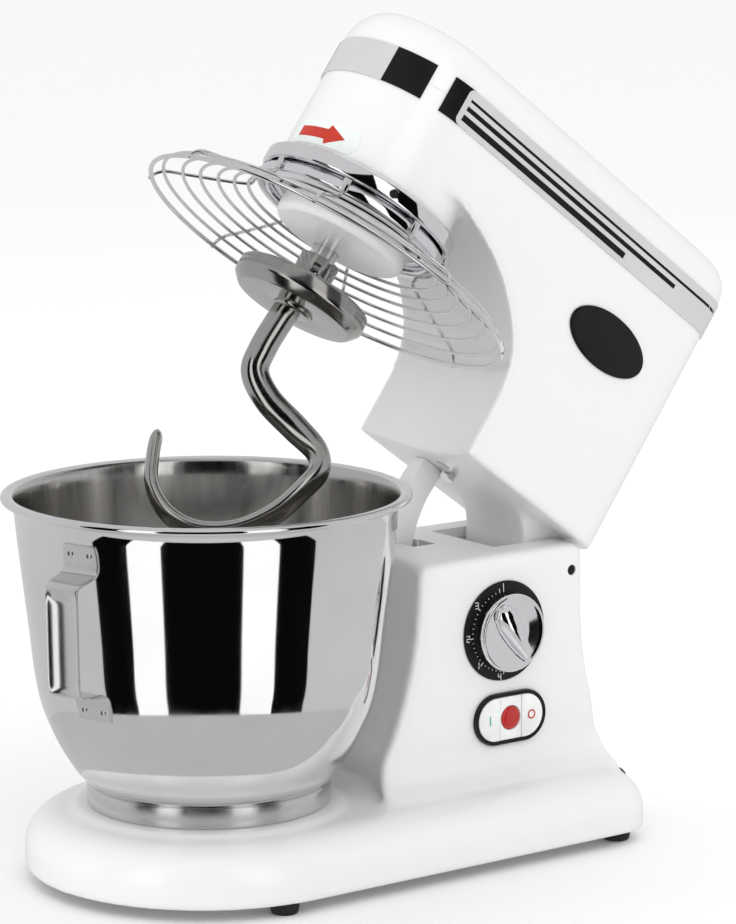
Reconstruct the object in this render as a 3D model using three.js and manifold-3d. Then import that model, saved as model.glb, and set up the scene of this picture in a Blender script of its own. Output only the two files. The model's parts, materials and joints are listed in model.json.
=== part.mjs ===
// Commercial tilt-head planetary stand mixer with a seven litre bowl, dough hook and wire guard.
// Millimetres, +Z up, the nose points to -Y and the controls face +X.
// The planetary axis of the closed head and the bowl share one vertical axis at x = 0, y = 0 while
// the parts are built. The last lines move the whole mixer so that its origin is the bottom centre
// of its box. Head parts are built in the closed, level position and stored tilted open.
import * as THREE from "three";
import { mergeVertices } from "three/addons/utils/BufferGeometryUtils.js";
import Module from "manifold-3d";

const wasm = await Module();
wasm.setup();

// Driving dimensions
const GAP = 0.3; // clearance between pieces that touch
const FOOT_HEIGHT = 8;
const BASE_HALF_WIDTH = 118;
const BASE_REAR_Y = 279;
const BASE_EDGE_TOP = 22;
const BASE_TOP = 46;
const BOWL_SEAT_TOP = 49;
const COLUMN_HALF_WIDTH = 58.5;
const COLUMN_TOP = 193;
const COLUMN_WALL = 5;
const HINGE_Y = 251.3;
const HINGE_Z = 175.9;
const HINGE_PIN_RADIUS = 6;
const HEAD_OPEN_DEGREES = 35.8;
const HEAD_RADIUS = 60; // nose radius and half width of the head
const HEAD_REAR_Y = 266;
const HEAD_TOP = 413;
const HEAD_PARTING = 373;
const NOSE_CROWN = 15;
const HEAD_WALL = 4.5;
const NECK_BOTTOM = 195;
const NOSE_BOTTOM = 304;
const BADGE_Y = 184.7;
const BADGE_Z = 313.1;
const BAND_LOW = 361;
const BAND_HIGH = 386;
const GEAR_MODULE = 1.5;
const RING_TEETH = 54;
const PLANET_TEETH = 16;
const PLANET_OFFSET = (GEAR_MODULE * (RING_TEETH - PLANET_TEETH)) / 2;
const PLANET_DIRECTION = THREE.MathUtils.degToRad(153.4);
const PLANET_X = PLANET_OFFSET * Math.cos(PLANET_DIRECTION);
const PLANET_Y = PLANET_OFFSET * Math.sin(PLANET_DIRECTION);
const GEAR_LOW = 285;
const GEAR_HIGH = 300;
const SHAFT_RADIUS = 10;
const AGITATOR_RADIUS = 9;
const HUB_RADIUS = 45;
const HUB_BOTTOM = 268;
const HUB_TOP = 283;
const COLLAR_RADIUS = 67.5;
const DRIVE_PIN_Z = 252;
const SLEEVE_RADIUS = 13.5;
const SLEEVE_TOP = 260.5;
const SLEEVE_FLOOR = 236;
const SHIELD_RADIUS = 46;
const SHIELD_LOW = 223;
const SHIELD_HIGH = 240;
const HOOK_TOP = 235;
const HOOK_RADIUS = 9.2;
const MOTOR_Y = 196;
const MOTOR_RADIUS = 42;
const MOTOR_TOP = 318;
const PULLEY_LOW = 350;
const PULLEY_HIGH = 364;
const DRIVEN_PULLEY_RADIUS = 50;
const MOTOR_PULLEY_RADIUS = 14;
const BOWL_RIM_RADIUS = 130;
const BOWL_RIM_Z = 248.6;
const BOWL_WALL = 1.5;
const BOWL_FLOOR = 56;
const FOOT_RING_RADIUS = 78;
const DIAL_Y = 193.3;
const DIAL_Z = 142.8;
const DIAL_RADIUS = 33.3;
const SWITCH_Y = 198.1;
const SWITCH_Z = 83.9;

// Finishes
const finish = (color, roughness, metalness) => new THREE.MeshStandardMaterial({ color, roughness, metalness });
const whiteEnamel = finish(0xeeeeec, 0.25, 0);
const polishedSteel = finish(0xc8c9cb, 0.12, 1);
const chrome = finish(0xdadbde, 0.06, 1);
const machinedSteel = finish(0x9a9c9f, 0.35, 1);
const castAluminium = finish(0xa9abad, 0.5, 1);
const silverFoil = finish(0xb9bbbd, 0.35, 0.6);
const blackPlastic = finish(0x131313, 0.35, 0);
const whitePlastic = finish(0xe9e9e6, 0.4, 0);
const blackRubber = finish(0x1a1a1a, 0.85, 0);
const redPlastic = finish(0xc3201f, 0.3, 0);
const zincSteel = finish(0x8b8d8c, 0.45, 1);
const circuitGreen = finish(0x1d5b3a, 0.6, 0);

// Solids
function solidOf(geometry) {
  const bare = new THREE.BufferGeometry();
  bare.setAttribute("position", geometry.getAttribute("position"));
  bare.setIndex(geometry.index);
  const merged = mergeVertices(bare, 1e-4);
  const index = merged.index.array;
  const corners = [];
  for (let i = 0; i < index.length; i += 3) {
    const [a, b, c] = [index[i], index[i + 1], index[i + 2]];
    if (a !== b && b !== c && c !== a) corners.push(a, b, c);
  }
  const make = (triVerts) => new wasm.Manifold(
    new wasm.Mesh({ numProp: 3, vertProperties: new Float32Array(merged.attributes.position.array), triVerts }),
  );
  const made = make(new Uint32Array(corners));
  if (made.volume() >= 0) return made;
  return make(new Uint32Array(corners.reverse()));
}

function geometryOf(solid) {
  const mesh = solid.getMesh();
  const indexed = new THREE.BufferGeometry();
  indexed.setAttribute("position", new THREE.BufferAttribute(new Float32Array(mesh.vertProperties), 3));
  indexed.setIndex(new THREE.BufferAttribute(new Uint32Array(mesh.triVerts), 1));
  const flat = indexed.toNonIndexed();
  flat.computeVertexNormals();
  return flat;
}

const join = (...solids) => solids.reduce((sum, solid) => sum.add(solid));
const cut = (solid, ...tools) => tools.reduce((left, tool) => left.subtract(tool), solid);

// A box given by its lowest and highest corners.
function block(low, high) {
  const size = high.map((value, i) => value - low[i]);
  const geometry = new THREE.BoxGeometry(...size);
  geometry.translate(...low.map((value, i) => value + size[i] / 2));
  return solidOf(geometry);
}

// A solid of revolution about a vertical axis through (x, y); points are [radius, height].
function turned(points, segments = 28, x = 0, y = 0) {
  const geometry = new THREE.LatheGeometry(points.map(([r, z]) => new THREE.Vector2(r, z)), segments);
  geometry.rotateX(Math.PI / 2);
  geometry.translate(x, y, 0);
  return solidOf(geometry);
}

function disc(radius, low, high, segments = 24, x = 0, y = 0) {
  return turned([[0, low], [radius, low], [radius, high], [0, high]], segments, x, y);
}

function tube(outer, inner, low, high, segments = 24, x = 0, y = 0) {
  return turned([[inner, low], [outer, low], [outer, high], [inner, high], [inner, low]], segments, x, y);
}

// A cylinder along X from x = low to x = high, centred on (y, z).
function crossRod(radius, low, high, y, z, segments = 20) {
  const geometry = new THREE.CylinderGeometry(radius, radius, high - low, segments);
  geometry.rotateZ(Math.PI / 2);
  geometry.translate((low + high) / 2, y, z);
  return solidOf(geometry);
}

// A cylinder along Y from y = low to y = high, centred on (x, z).
function lengthRod(radius, low, high, x, z, segments = 24) {
  const geometry = new THREE.CylinderGeometry(radius, radius, high - low, segments);
  geometry.translate(x, (low + high) / 2, z);
  return solidOf(geometry);
}

// A flat plan shape raised from z = low to z = high.
function raised(shape, low, high, curveSegments = 8) {
  const geometry = new THREE.ExtrudeGeometry(shape, { depth: high - low, bevelEnabled: false, curveSegments });
  geometry.translate(0, 0, low);
  return solidOf(geometry);
}

// A shape drawn in (y, z) and raised along X from x = low to x = high.
function raisedAcross(shape, low, high, curveSegments = 8) {
  const geometry = new THREE.ExtrudeGeometry(shape, { depth: high - low, bevelEnabled: false, curveSegments });
  geometry.applyMatrix4(new THREE.Matrix4().set(0, 0, 1, low, 1, 0, 0, 0, 0, 1, 0, 0, 0, 0, 0, 1));
  return solidOf(geometry);
}

// A skin through rings of equal point count, closed at both ends.
function skinned(rings, capPoints) {
  const count = rings[0].length;
  const positions = rings.flat().flatMap((p) => [p.x, p.y, p.z]);
  const index = [];
  for (let ring = 0; ring + 1 < rings.length; ring += 1) {
    for (let i = 0; i < count; i += 1) {
      const a = ring * count + i;
      const b = ring * count + ((i + 1) % count);
      index.push(a, b, b + count, a, b + count, a + count);
    }
  }
  const last = (rings.length - 1) * count;
  for (const [a, b, c] of THREE.ShapeUtils.triangulateShape(capPoints, [])) {
    index.push(c, b, a, last + a, last + b, last + c);
  }
  const geometry = new THREE.BufferGeometry();
  geometry.setAttribute("position", new THREE.Float32BufferAttribute(positions, 3));
  geometry.setIndex(index);
  return solidOf(geometry);
}

// Stacked plan outlines, each { shape, z }, skinned into one solid.
function lofted(levels, divisions = 4) {
  const outlines = levels.map(({ shape }) => shape.getPoints(divisions).slice(0, -1));
  const rings = outlines.map((points, i) => points.map((p) => new THREE.Vector3(p.x, p.y, levels[i].z)));
  return skinned(rings, outlines[0]);
}

// A bar of elliptical section swept along a curve. The width lies along `across`, squared up to the curve.
// sizeAt(t) gives the half width and half thickness.
function sweptBar(curve, steps, sides, across, sizeAt) {
  const rings = [];
  for (let step = 0; step <= steps; step += 1) {
    const t = step / steps;
    const centre = curve.getPointAt(t);
    const tangent = curve.getTangentAt(t);
    const wide = across.clone().addScaledVector(tangent, -across.dot(tangent)).normalize();
    const thin = wide.clone().cross(tangent);
    const [halfWidth, halfThickness] = sizeAt(t);
    const ring = [];
    for (let side = 0; side < sides; side += 1) {
      const turn = (side / sides) * 2 * Math.PI;
      const point = centre.clone();
      point.addScaledVector(thin, halfThickness * Math.cos(turn));
      point.addScaledVector(wide, halfWidth * Math.sin(turn));
      ring.push(point);
    }
    rings.push(ring);
  }
  const cap = Array.from({ length: sides }, (_, side) => {
    const turn = (side / sides) * 2 * Math.PI;
    return new THREE.Vector2(Math.cos(turn), Math.sin(turn));
  });
  return skinned(rings, cap);
}

// A round wire along a curve.
function wire(curve, radius, steps, sides) {
  const section = new THREE.Shape();
  for (let side = 0; side < sides; side += 1) {
    const turn = (side / sides) * 2 * Math.PI;
    const place = [radius * Math.cos(turn), radius * Math.sin(turn)];
    if (side === 0) section.moveTo(...place);
    else section.lineTo(...place);
  }
  section.closePath();
  return solidOf(new THREE.ExtrudeGeometry(section, { steps, extrudePath: curve, bevelEnabled: false }));
}

// Scene graph
const mixer = new THREE.Group();
const closedHead = new THREE.Group();
const tilt = new THREE.Group();
tilt.position.set(0, HINGE_Y, HINGE_Z);
tilt.rotation.x = -THREE.MathUtils.degToRad(HEAD_OPEN_DEGREES);
closedHead.position.set(0, -HINGE_Y, -HINGE_Z);
tilt.add(closedHead);
mixer.add(tilt);

function add(parent, name, solid, material) {
  const mesh = new THREE.Mesh(geometryOf(solid), material);
  mesh.name = name;
  parent.add(mesh);
}

// Base plate outline: a half round front about the bowl axis, straight sides, round rear corners.
function baseOutline(inset, rearInset = inset) {
  const half = BASE_HALF_WIDTH - inset;
  const rear = BASE_REAR_Y - rearInset;
  const corner = 28;
  const shape = new THREE.Shape();
  shape.moveTo(-half, 0);
  shape.absarc(0, 0, half, Math.PI, 2 * Math.PI, false);
  shape.lineTo(half, rear - corner);
  shape.quadraticCurveTo(half, rear, half - corner, rear);
  shape.lineTo(corner - half, rear);
  shape.quadraticCurveTo(-half, rear, -half, rear - corner);
  shape.lineTo(-half, 0);
  return shape;
}

// Base plate with an upright edge and a quarter-ellipse shoulder.
function basePlate(inset, low, top) {
  const levels = [{ shape: baseOutline(inset), z: low }, { shape: baseOutline(inset), z: BASE_EDGE_TOP }];
  const shoulderSteps = 4;
  for (let step = 1; step <= shoulderSteps; step += 1) {
    const turn = ((step / shoulderSteps) * Math.PI) / 2;
    const z = BASE_EDGE_TOP + (top - BASE_EDGE_TOP) * Math.sin(turn);
    const shoulder = 28 * (1 - Math.cos(turn));
    levels.push({ shape: baseOutline(inset + shoulder, inset + 0.5 * shoulder), z });
  }
  return lofted(levels, 8);
}

// Column section: a hollow front that follows the bowl, flat sides and a flat rear.
function columnOutline(half, frontRadius, rear, frontCorner = 8, rearCorner = 9) {
  const arcHalf = half - frontCorner;
  const reach = Math.acos(arcHalf / frontRadius);
  const cornerY = Math.sqrt(frontRadius ** 2 - half ** 2);
  const shape = new THREE.Shape();
  shape.absarc(0, 0, frontRadius, Math.PI - reach, reach, true);
  shape.quadraticCurveTo(half, cornerY, half, cornerY + frontCorner);
  shape.lineTo(half, rear - rearCorner);
  shape.quadraticCurveTo(half, rear, half - rearCorner, rear);
  shape.lineTo(rearCorner - half, rear);
  shape.quadraticCurveTo(-half, rear, -half, rear - rearCorner);
  shape.lineTo(-half, cornerY + frontCorner);
  shape.quadraticCurveTo(-half, cornerY, -arcHalf, frontRadius * Math.sin(reach));
  return shape;
}

// Heights, half widths, front radii and rear faces of the column, from the flared foot to the top.
const COLUMN_LEVELS = [
  [12, 88, 116, 272],
  [45, 88, 114, 275],
  [49, 77, 111, 276.5],
  [55, 67, 109, 277],
  [66, COLUMN_HALF_WIDTH, 110.5, 277],
  [84, COLUMN_HALF_WIDTH, 118.6, 274.5],
  [105, COLUMN_HALF_WIDTH, 125.5, 269],
  [125, COLUMN_HALF_WIDTH, 130.5, 265.5],
  [148, COLUMN_HALF_WIDTH, 134.5, 263.7],
  [187, COLUMN_HALF_WIDTH, 137, 263.4],
  [191, COLUMN_HALF_WIDTH - 1.5, 138.5, 262],
  [COLUMN_TOP, COLUMN_HALF_WIDTH - 5, 142, 258.5],
];

function columnBody() {
  return lofted(COLUMN_LEVELS.map(([z, half, front, rear]) => ({ shape: columnOutline(half, front, rear), z })));
}

function columnHollow() {
  const levels = COLUMN_LEVELS.filter(([z]) => [12, 49, 66, 105, 148, 187].includes(z));
  return lofted(levels.map(([z, half, front, rear], i) => ({
    shape: columnOutline(half - COLUMN_WALL, front + COLUMN_WALL, rear - COLUMN_WALL, 5, 10),
    z: i === 0 ? FOOT_HEIGHT - 1 : z,
  })));
}

function stadium(width, height, centreY, centreZ) {
  const radius = height / 2;
  const straight = width / 2 - radius;
  const shape = new THREE.Shape();
  shape.moveTo(centreY - straight, centreZ - radius);
  shape.lineTo(centreY + straight, centreZ - radius);
  shape.absarc(centreY + straight, centreZ, radius, -Math.PI / 2, Math.PI / 2, false);
  shape.lineTo(centreY - straight, centreZ + radius);
  shape.absarc(centreY - straight, centreZ, radius, Math.PI / 2, (3 * Math.PI) / 2, false);
  return shape;
}

const SWITCH_WIDTH = 59;
const SWITCH_HEIGHT = 34.5;
const SWITCH_FRAME = 2.4;
const LAMP_RADIUS = 7.9;

function switchOpening() {
  return stadium(SWITCH_WIDTH - 2 * SWITCH_FRAME, SWITCH_HEIGHT - 2 * SWITCH_FRAME, SWITCH_Y, SWITCH_Z);
}

const LOCK_KNOB_Y = 163;
const LOCK_KNOB_Z = 160;
const QUADRANT_LOW_X = -26;
const QUADRANT_HIGH_X = -14;
const QUADRANT_INNER = 79;
const QUADRANT_OUTER = 98;
const GLAND_X = 62;
const GLAND_Z = 27;
const NOTCH_HALF_WIDTH = 34;
const NOTCH_FRONT = 207;
const NOTCH_FLOOR = 158;

function baseCasting() {
  const outside = join(
    basePlate(0, FOOT_HEIGHT, BASE_TOP),
    columnBody(),
    turned([[0, BASE_TOP - 8], [92, BASE_TOP - 1], [84, BOWL_SEAT_TOP], [0, BOWL_SEAT_TOP]], 32),
  );
  const hollow = join(basePlate(6, FOOT_HEIGHT - 1, BASE_TOP - 6), columnHollow());
  const hingeBlock = block([-55, NOTCH_FRONT - 6, 150], [55, 256, 189]);
  const shell = join(cut(outside, hollow), hingeBlock.intersect(columnBody()));
  return cut(
    shell,
    block([-NOTCH_HALF_WIDTH, NOTCH_FRONT, NOTCH_FLOOR], [NOTCH_HALF_WIDTH, 290, COLUMN_TOP + 5]),
    block([QUADRANT_LOW_X - 2, 147, 180], [QUADRANT_HIGH_X + 2, 179, COLUMN_TOP + 5]),
    block([QUADRANT_HIGH_X, 163, 180], [2, 181, COLUMN_TOP + 5]),
    crossRod(HINGE_PIN_RADIUS + GAP, -53.5, 53.5, HINGE_Y, HINGE_Z),
    crossRod(3.5, -62, 62, HINGE_Y, HINGE_Z, 16),
    crossRod(4.6, 45, 62, DIAL_Y, DIAL_Z, 16),
    crossRod(4.4, -62, -45, LOCK_KNOB_Y, LOCK_KNOB_Z, 16),
    raisedAcross(switchOpening(), 45, 62),
    lengthRod(8.4, 262, 285, GLAND_X, GLAND_Z),
  );
}

function foot(x, y) {
  const top = FOOT_HEIGHT - GAP;
  return turned([[0, 0], [7.5, 0], [8.6, 1], [9.8, top], [0, top]], 24, x, y);
}

function buildBase() {
  add(mixer, "base_casting", baseCasting(), whiteEnamel);
  add(mixer, "bottom_cover", raised(baseOutline(6 + GAP), FOOT_HEIGHT + GAP, FOOT_HEIGHT + 2, 8), zincSteel);
  const places = [[-103, -14], [103, -14], [-99, 258], [99, 258]];
  const names = ["front_left", "front_right", "rear_left", "rear_right"];
  places.forEach(([x, y], i) => add(mixer, `foot_${names[i]}`, foot(x, y), blackRubber));
  const seat = BOWL_SEAT_TOP + GAP;
  const lockPlate = turned([[0, seat], [72, seat], [72, seat + 2], [66, seat + 5], [0, seat + 5]], 32);
  add(mixer, "bowl_lock_plate", lockPlate, machinedSteel);
}

function buildHingePin() {
  add(mixer, "hinge_pin", crossRod(HINGE_PIN_RADIUS, -53, 53, HINGE_Y, HINGE_Z), machinedSteel);
  add(mixer, "hinge_screw_right", crossRod(3.2, 54, 57.5, HINGE_Y, HINGE_Z, 12), blackPlastic);
  add(mixer, "hinge_screw_left", crossRod(3.2, -57.5, -54, HINGE_Y, HINGE_Z, 12), blackPlastic);
}

function buildSpeedControl() {
  const face = COLUMN_HALF_WIDTH + GAP;
  const plate = cut(
    crossRod(DIAL_RADIUS, face, face + 1.6, DIAL_Y, DIAL_Z, 48),
    crossRod(4.6, face - 1, face + 3, DIAL_Y, DIAL_Z, 16),
  );
  add(mixer, "dial_plate", plate, blackPlastic);
  const control = cut(
    block([29, DIAL_Y - 24, DIAL_Z - 16], [53, DIAL_Y + 7, DIAL_Z + 16]),
    crossRod(4.6, 40, 54, DIAL_Y, DIAL_Z, 16),
  );
  add(mixer, "speed_control", control, blackPlastic);
  add(mixer, "speed_knob", speedKnob(face + 2), chrome);
}

// Chrome knob turned about X, with a raised grip bar whose end points to the scale.
const GRIP_DEGREES = -59.6;

function speedKnob(seat) {
  const points = [[0, 0], [21, 0], [21, 3.5], [26, 5.5], [26, 8.5], [24.5, 10], [0, 11]];
  const geometry = new THREE.LatheGeometry(points.map(([r, x]) => new THREE.Vector2(r, x)), 28);
  geometry.rotateZ(-Math.PI / 2);
  geometry.translate(seat, DIAL_Y, DIAL_Z);
  const grip = new THREE.Shape();
  grip.moveTo(-22, -3);
  grip.quadraticCurveTo(0, -8.5, 22, -3);
  grip.quadraticCurveTo(24, 0, 22, 3);
  grip.quadraticCurveTo(0, 8.5, -22, 3);
  grip.quadraticCurveTo(-24, 0, -22, -3);
  const bar = new THREE.ExtrudeGeometry(grip, { depth: 15, bevelEnabled: false, curveSegments: 6 });
  bar.rotateZ(THREE.MathUtils.degToRad(GRIP_DEGREES));
  bar.applyMatrix4(new THREE.Matrix4().set(0, 0, 1, seat + 5, 1, 0, 0, DIAL_Y, 0, 1, 0, DIAL_Z, 0, 0, 0, 1));
  const shaft = crossRod(4, 44, seat + 4, DIAL_Y, DIAL_Z, 16);
  return join(solidOf(geometry), solidOf(bar), shaft);
}

function buildSwitch() {
  const face = COLUMN_HALF_WIDTH + GAP;
  const frame = cut(
    raisedAcross(stadium(SWITCH_WIDTH, SWITCH_HEIGHT, SWITCH_Y, SWITCH_Z), face, face + 3),
    raisedAcross(switchOpening(), face - 1, face + 4),
  );
  add(mixer, "switch_bezel", frame, blackPlastic);
  const margin = SWITCH_FRAME + 0.4;
  const inside = stadium(SWITCH_WIDTH - 2 * margin, SWITCH_HEIGHT - 2 * margin, SWITCH_Y, SWITCH_Z);
  const stripHalf = LAMP_RADIUS + 0.9;
  const strip = block([50, SWITCH_Y - stripHalf, 60], [70, SWITCH_Y + stripHalf, 110]);
  const plate = cut(
    raisedAcross(inside, 53, face + 2.4).intersect(strip),
    crossRod(LAMP_RADIUS + GAP, 52, 70, SWITCH_Y, SWITCH_Z),
  );
  add(mixer, "switch_plate", plate, whitePlastic);
  add(mixer, "pilot_lamp", crossRod(LAMP_RADIUS, 53, face + 3.2, SWITCH_Y, SWITCH_Z), redPlastic);
  const edge = stripHalf + 0.4;
  const key = raisedAcross(inside, 56, face + 2.8);
  const onKey = key.intersect(block([50, SWITCH_Y - 30, 60], [70, SWITCH_Y - edge, 110]));
  const offKey = key.intersect(block([50, SWITCH_Y + edge, 60], [70, SWITCH_Y + 30, 110]));
  add(mixer, "on_button", onKey, whitePlastic);
  add(mixer, "off_button", offKey, whitePlastic);
  add(mixer, "switch_block", block([30, SWITCH_Y - 17, 70], [52.6, SWITCH_Y + 17, 98]), blackPlastic);
}

// Power board with a finned heat sink and two capacitors.
function buildElectrics() {
  let board = block([-49, 150, 56], [-47, 236, 118]);
  for (let fin = 0; fin < 4; fin += 1) {
    board = join(board, block([-47.5, 160 + fin * 8, 62], [-33, 163 + fin * 8, 92]));
  }
  board = join(board, block([-47.5, 204, 64], [-30, 226, 84]), crossRod(7, -47.5, -28, 215, 102, 12));
  add(mixer, "control_board", board, circuitGreen);
  add(mixer, "tilt_microswitch", block([-10, 172, 166], [2, 196, 184]), blackPlastic);
  const gland = cut(
    join(
      lengthRod(8, 266, BASE_REAR_Y + 2, GLAND_X, GLAND_Z, 20),
      lengthRod(11, BASE_REAR_Y + GAP, BASE_REAR_Y + 6, GLAND_X, GLAND_Z, 6),
      lengthRod(8.6, BASE_REAR_Y + 5, BASE_REAR_Y + 13, GLAND_X, GLAND_Z, 20),
    ),
    lengthRod(4, 260, 300, GLAND_X, GLAND_Z, 14),
  );
  add(mixer, "cable_gland", gland, blackPlastic);
}

// Clamp knob on the side away from the controls; its screw presses on the lock quadrant.
function buildLockKnob() {
  const face = -COLUMN_HALF_WIDTH - 1;
  let knob = join(
    crossRod(16, face - 16, face - 4, LOCK_KNOB_Y, LOCK_KNOB_Z, 24),
    crossRod(9, face - 5, face, LOCK_KNOB_Y, LOCK_KNOB_Z, 20),
    crossRod(4, face - 5, QUADRANT_LOW_X - 0.6, LOCK_KNOB_Y, LOCK_KNOB_Z, 16),
  );
  const lobes = 6;
  for (let lobe = 0; lobe < lobes; lobe += 1) {
    const turn = (lobe / lobes) * 2 * Math.PI;
    const y = LOCK_KNOB_Y + 17.5 * Math.cos(turn);
    const z = LOCK_KNOB_Z + 17.5 * Math.sin(turn);
    knob = cut(knob, crossRod(4.5, face - 20, face - 2, y, z, 12));
  }
  add(mixer, "lock_knob", knob, blackPlastic);
}

// Bowl
const bowlSkin = [
  [60, BOWL_FLOOR], [72, BOWL_FLOOR + 3], [84, BOWL_FLOOR + 14], [94, BOWL_FLOOR + 29.5], [102, BOWL_FLOOR + 46],
  [107.5, BOWL_FLOOR + 62], [111, BOWL_FLOOR + 84], [116.5, BOWL_FLOOR + 134], [122, BOWL_RIM_Z - 7],
];

function bowlShell() {
  const inside = bowlSkin.map(([r, z]) => [r - BOWL_WALL, z + BOWL_WALL * 0.6]).reverse();
  const bead = 3.9;
  const rim = [];
  const rimSteps = 5;
  for (let step = 0; step <= rimSteps; step += 1) {
    const turn = -2.2 + (step / rimSteps) * 4.6;
    rim.push([BOWL_RIM_RADIUS - bead + bead * Math.cos(turn), BOWL_RIM_Z - bead + bead * Math.sin(turn)]);
  }
  const outline = [[0, BOWL_FLOOR], ...bowlSkin, ...rim, ...inside, [0, BOWL_FLOOR + BOWL_WALL]];
  return turned(outline, 32);
}

// Foot ring rolled from strip, standing on the seat of the base.
function bowlFootRing() {
  const low = BOWL_SEAT_TOP + GAP;
  return tube(FOOT_RING_RADIUS, FOOT_RING_RADIUS - 1.8, low, BOWL_FLOOR + 6.5, 32);
}

// Strap handle at the front of the bowl: a tab, an outward bend, an upright grip and a lower tab.
const HANDLE_DEGREES = 17;
const HANDLE_WIDTH = 28;
const HANDLE_THICKNESS = 2.4;

function bowlHandle() {
  const outer = [
    [123.8, 233], [122.2, 219], [126, 214.5], [134, 212.5], [139.5, 209], [140.5, 204], [139.6, 146],
    [138, 141.5], [133, 139.5], [119, 138.5], [113.6, 135], [110.8, 121],
  ];
  const inner = outer.map(([r, z], i) => {
    const [before, after] = [outer[Math.max(i - 1, 0)], outer[Math.min(i + 1, outer.length - 1)]];
    const along = new THREE.Vector2(after[0] - before[0], after[1] - before[1]).normalize();
    return [r + along.y * HANDLE_THICKNESS, z - along.x * HANDLE_THICKNESS];
  });
  const strap = new THREE.Shape([...outer, ...inner.reverse()].map(([r, z]) => new THREE.Vector2(r, z)));
  const geometry = new THREE.ExtrudeGeometry(strap, { depth: HANDLE_WIDTH, bevelEnabled: false });
  geometry.translate(0, 0, -HANDLE_WIDTH / 2);
  geometry.rotateX(Math.PI / 2);
  geometry.rotateZ(THREE.MathUtils.degToRad(HANDLE_DEGREES - 90));
  const bowlRoom = turned([[0, 50], ...bowlSkin.map(([r, z]) => [r + GAP, z]), [0, BOWL_RIM_Z]], 32);
  return cut(solidOf(geometry), bowlRoom);
}

function buildBowl() {
  add(mixer, "bowl_shell", bowlShell(), polishedSteel);
  add(mixer, "bowl_foot_ring", bowlFootRing(), polishedSteel);
  add(mixer, "bowl_handle", bowlHandle(), polishedSteel);
}

// Head, in its closed level position
function headOutline(inset, noseReach = HEAD_RADIUS - inset) {
  const half = HEAD_RADIUS - inset;
  const rear = HEAD_REAR_Y - inset;
  const corner = Math.max(24 - inset, 6);
  const shape = new THREE.Shape();
  shape.moveTo(-half, 0);
  shape.absellipse(0, 0, half, noseReach, Math.PI, 2 * Math.PI, false);
  shape.lineTo(half, rear - corner);
  shape.quadraticCurveTo(half, rear, half - corner, rear);
  shape.lineTo(corner - half, rear);
  shape.quadraticCurveTo(-half, rear, -half, rear - corner);
  shape.lineTo(-half, 0);
  return shape;
}

// Full-height head body with a rounded crown, tighter at the nose than along the sides.
function headBody(inset) {
  const crown = 24;
  const top = HEAD_TOP - inset;
  const levels = [{ shape: headOutline(inset), z: NECK_BOTTOM + inset }, { shape: headOutline(inset), z: top - crown }];
  const steps = 4;
  for (let step = 1; step <= steps; step += 1) {
    const turn = ((step / steps) * Math.PI) / 2;
    const fall = 1 - Math.cos(turn);
    const noseReach = HEAD_RADIUS - inset - NOSE_CROWN * fall;
    levels.push({ shape: headOutline(inset + crown * fall, noseReach), z: top - crown + crown * Math.sin(turn) });
  }
  return lofted(levels, 8);
}

// The room under the head, a surface of revolution about the planetary axis: bowl, guard and throat.
function throat(outset) {
  const points = [
    [141, 232], [137, 261], [128, 277], [114, 292], [99, 304.5], [84, 313], [71, 320], [60, 324],
  ].map(([r, z]) => [r + outset, z + outset]);
  return turned([[0, 180], [141 + outset, 180], ...points, [0, 326 + outset]], 32);
}

function headOutside() {
  return join(cut(headBody(0), throat(0)), disc(HEAD_RADIUS, NOSE_BOTTOM, 330, 32));
}

function headHollow() {
  const nose = disc(HEAD_RADIUS - HEAD_WALL, NOSE_BOTTOM + 5.5, 340, 32);
  return join(cut(headBody(HEAD_WALL), throat(HEAD_WALL)), nose);
}

// Hinge arm under the rear of the neck, which drops into the notch of the column.
function hingeArm() {
  const shape = new THREE.Shape();
  shape.moveTo(203, NECK_BOTTOM + 3);
  shape.lineTo(203, NECK_BOTTOM);
  shape.quadraticCurveTo(218, 189, 225, 178);
  shape.quadraticCurveTo(232, 164, HINGE_Y - 4, HINGE_Z - 12);
  shape.absarc(HINGE_Y, HINGE_Z, 12.6, -1.89, 0.2, false);
  shape.lineTo(HEAD_REAR_Y - 2, NECK_BOTTOM + 3);
  shape.closePath();
  return raisedAcross(shape, 2 - NOTCH_HALF_WIDTH, NOTCH_HALF_WIDTH - 2, 6);
}

function headCasting() {
  const below = block([-80, -80, 150], [80, 300, HEAD_PARTING - GAP / 2]);
  const shell = cut(headOutside(), headHollow()).intersect(below);
  return cut(
    join(shell, hingeArm()),
    crossRod(HINGE_PIN_RADIUS + GAP, -60, 60, HINGE_Y, HINGE_Z),
    disc(SHAFT_RADIUS + 1, NOSE_BOTTOM - 5, NOSE_BOTTOM + 10),
    disc(5, NECK_BOTTOM - 5, NECK_BOTTOM + 10, 16, 0, 160),
  );
}

function headCover() {
  const above = block([-80, -80, HEAD_PARTING + GAP / 2], [80, 300, 450]);
  return cut(headOutside(), headHollow()).intersect(above);
}

// A thin strip that wraps the head between two heights, inside the box from low to high in plan.
function bandStrip(lowX, lowY, highX, highY) {
  const strip = cut(
    raised(headOutline(-1), BAND_LOW, BAND_HIGH, 12),
    raised(headOutline(-GAP), BAND_LOW - 1, BAND_HIGH + 1, 12),
  );
  return strip.intersect(block([lowX, lowY, BAND_LOW - 2], [highX, highY, BAND_HIGH + 2]));
}

function badge(side) {
  const outline = new THREE.Shape();
  outline.absellipse(BADGE_Y, BADGE_Z, 35, 17.7, 0, 2 * Math.PI);
  const thickness = 1.4;
  const low = side > 0 ? HEAD_RADIUS + GAP : -HEAD_RADIUS - GAP - thickness;
  return raisedAcross(outline, low, low + thickness, 20);
}

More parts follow.
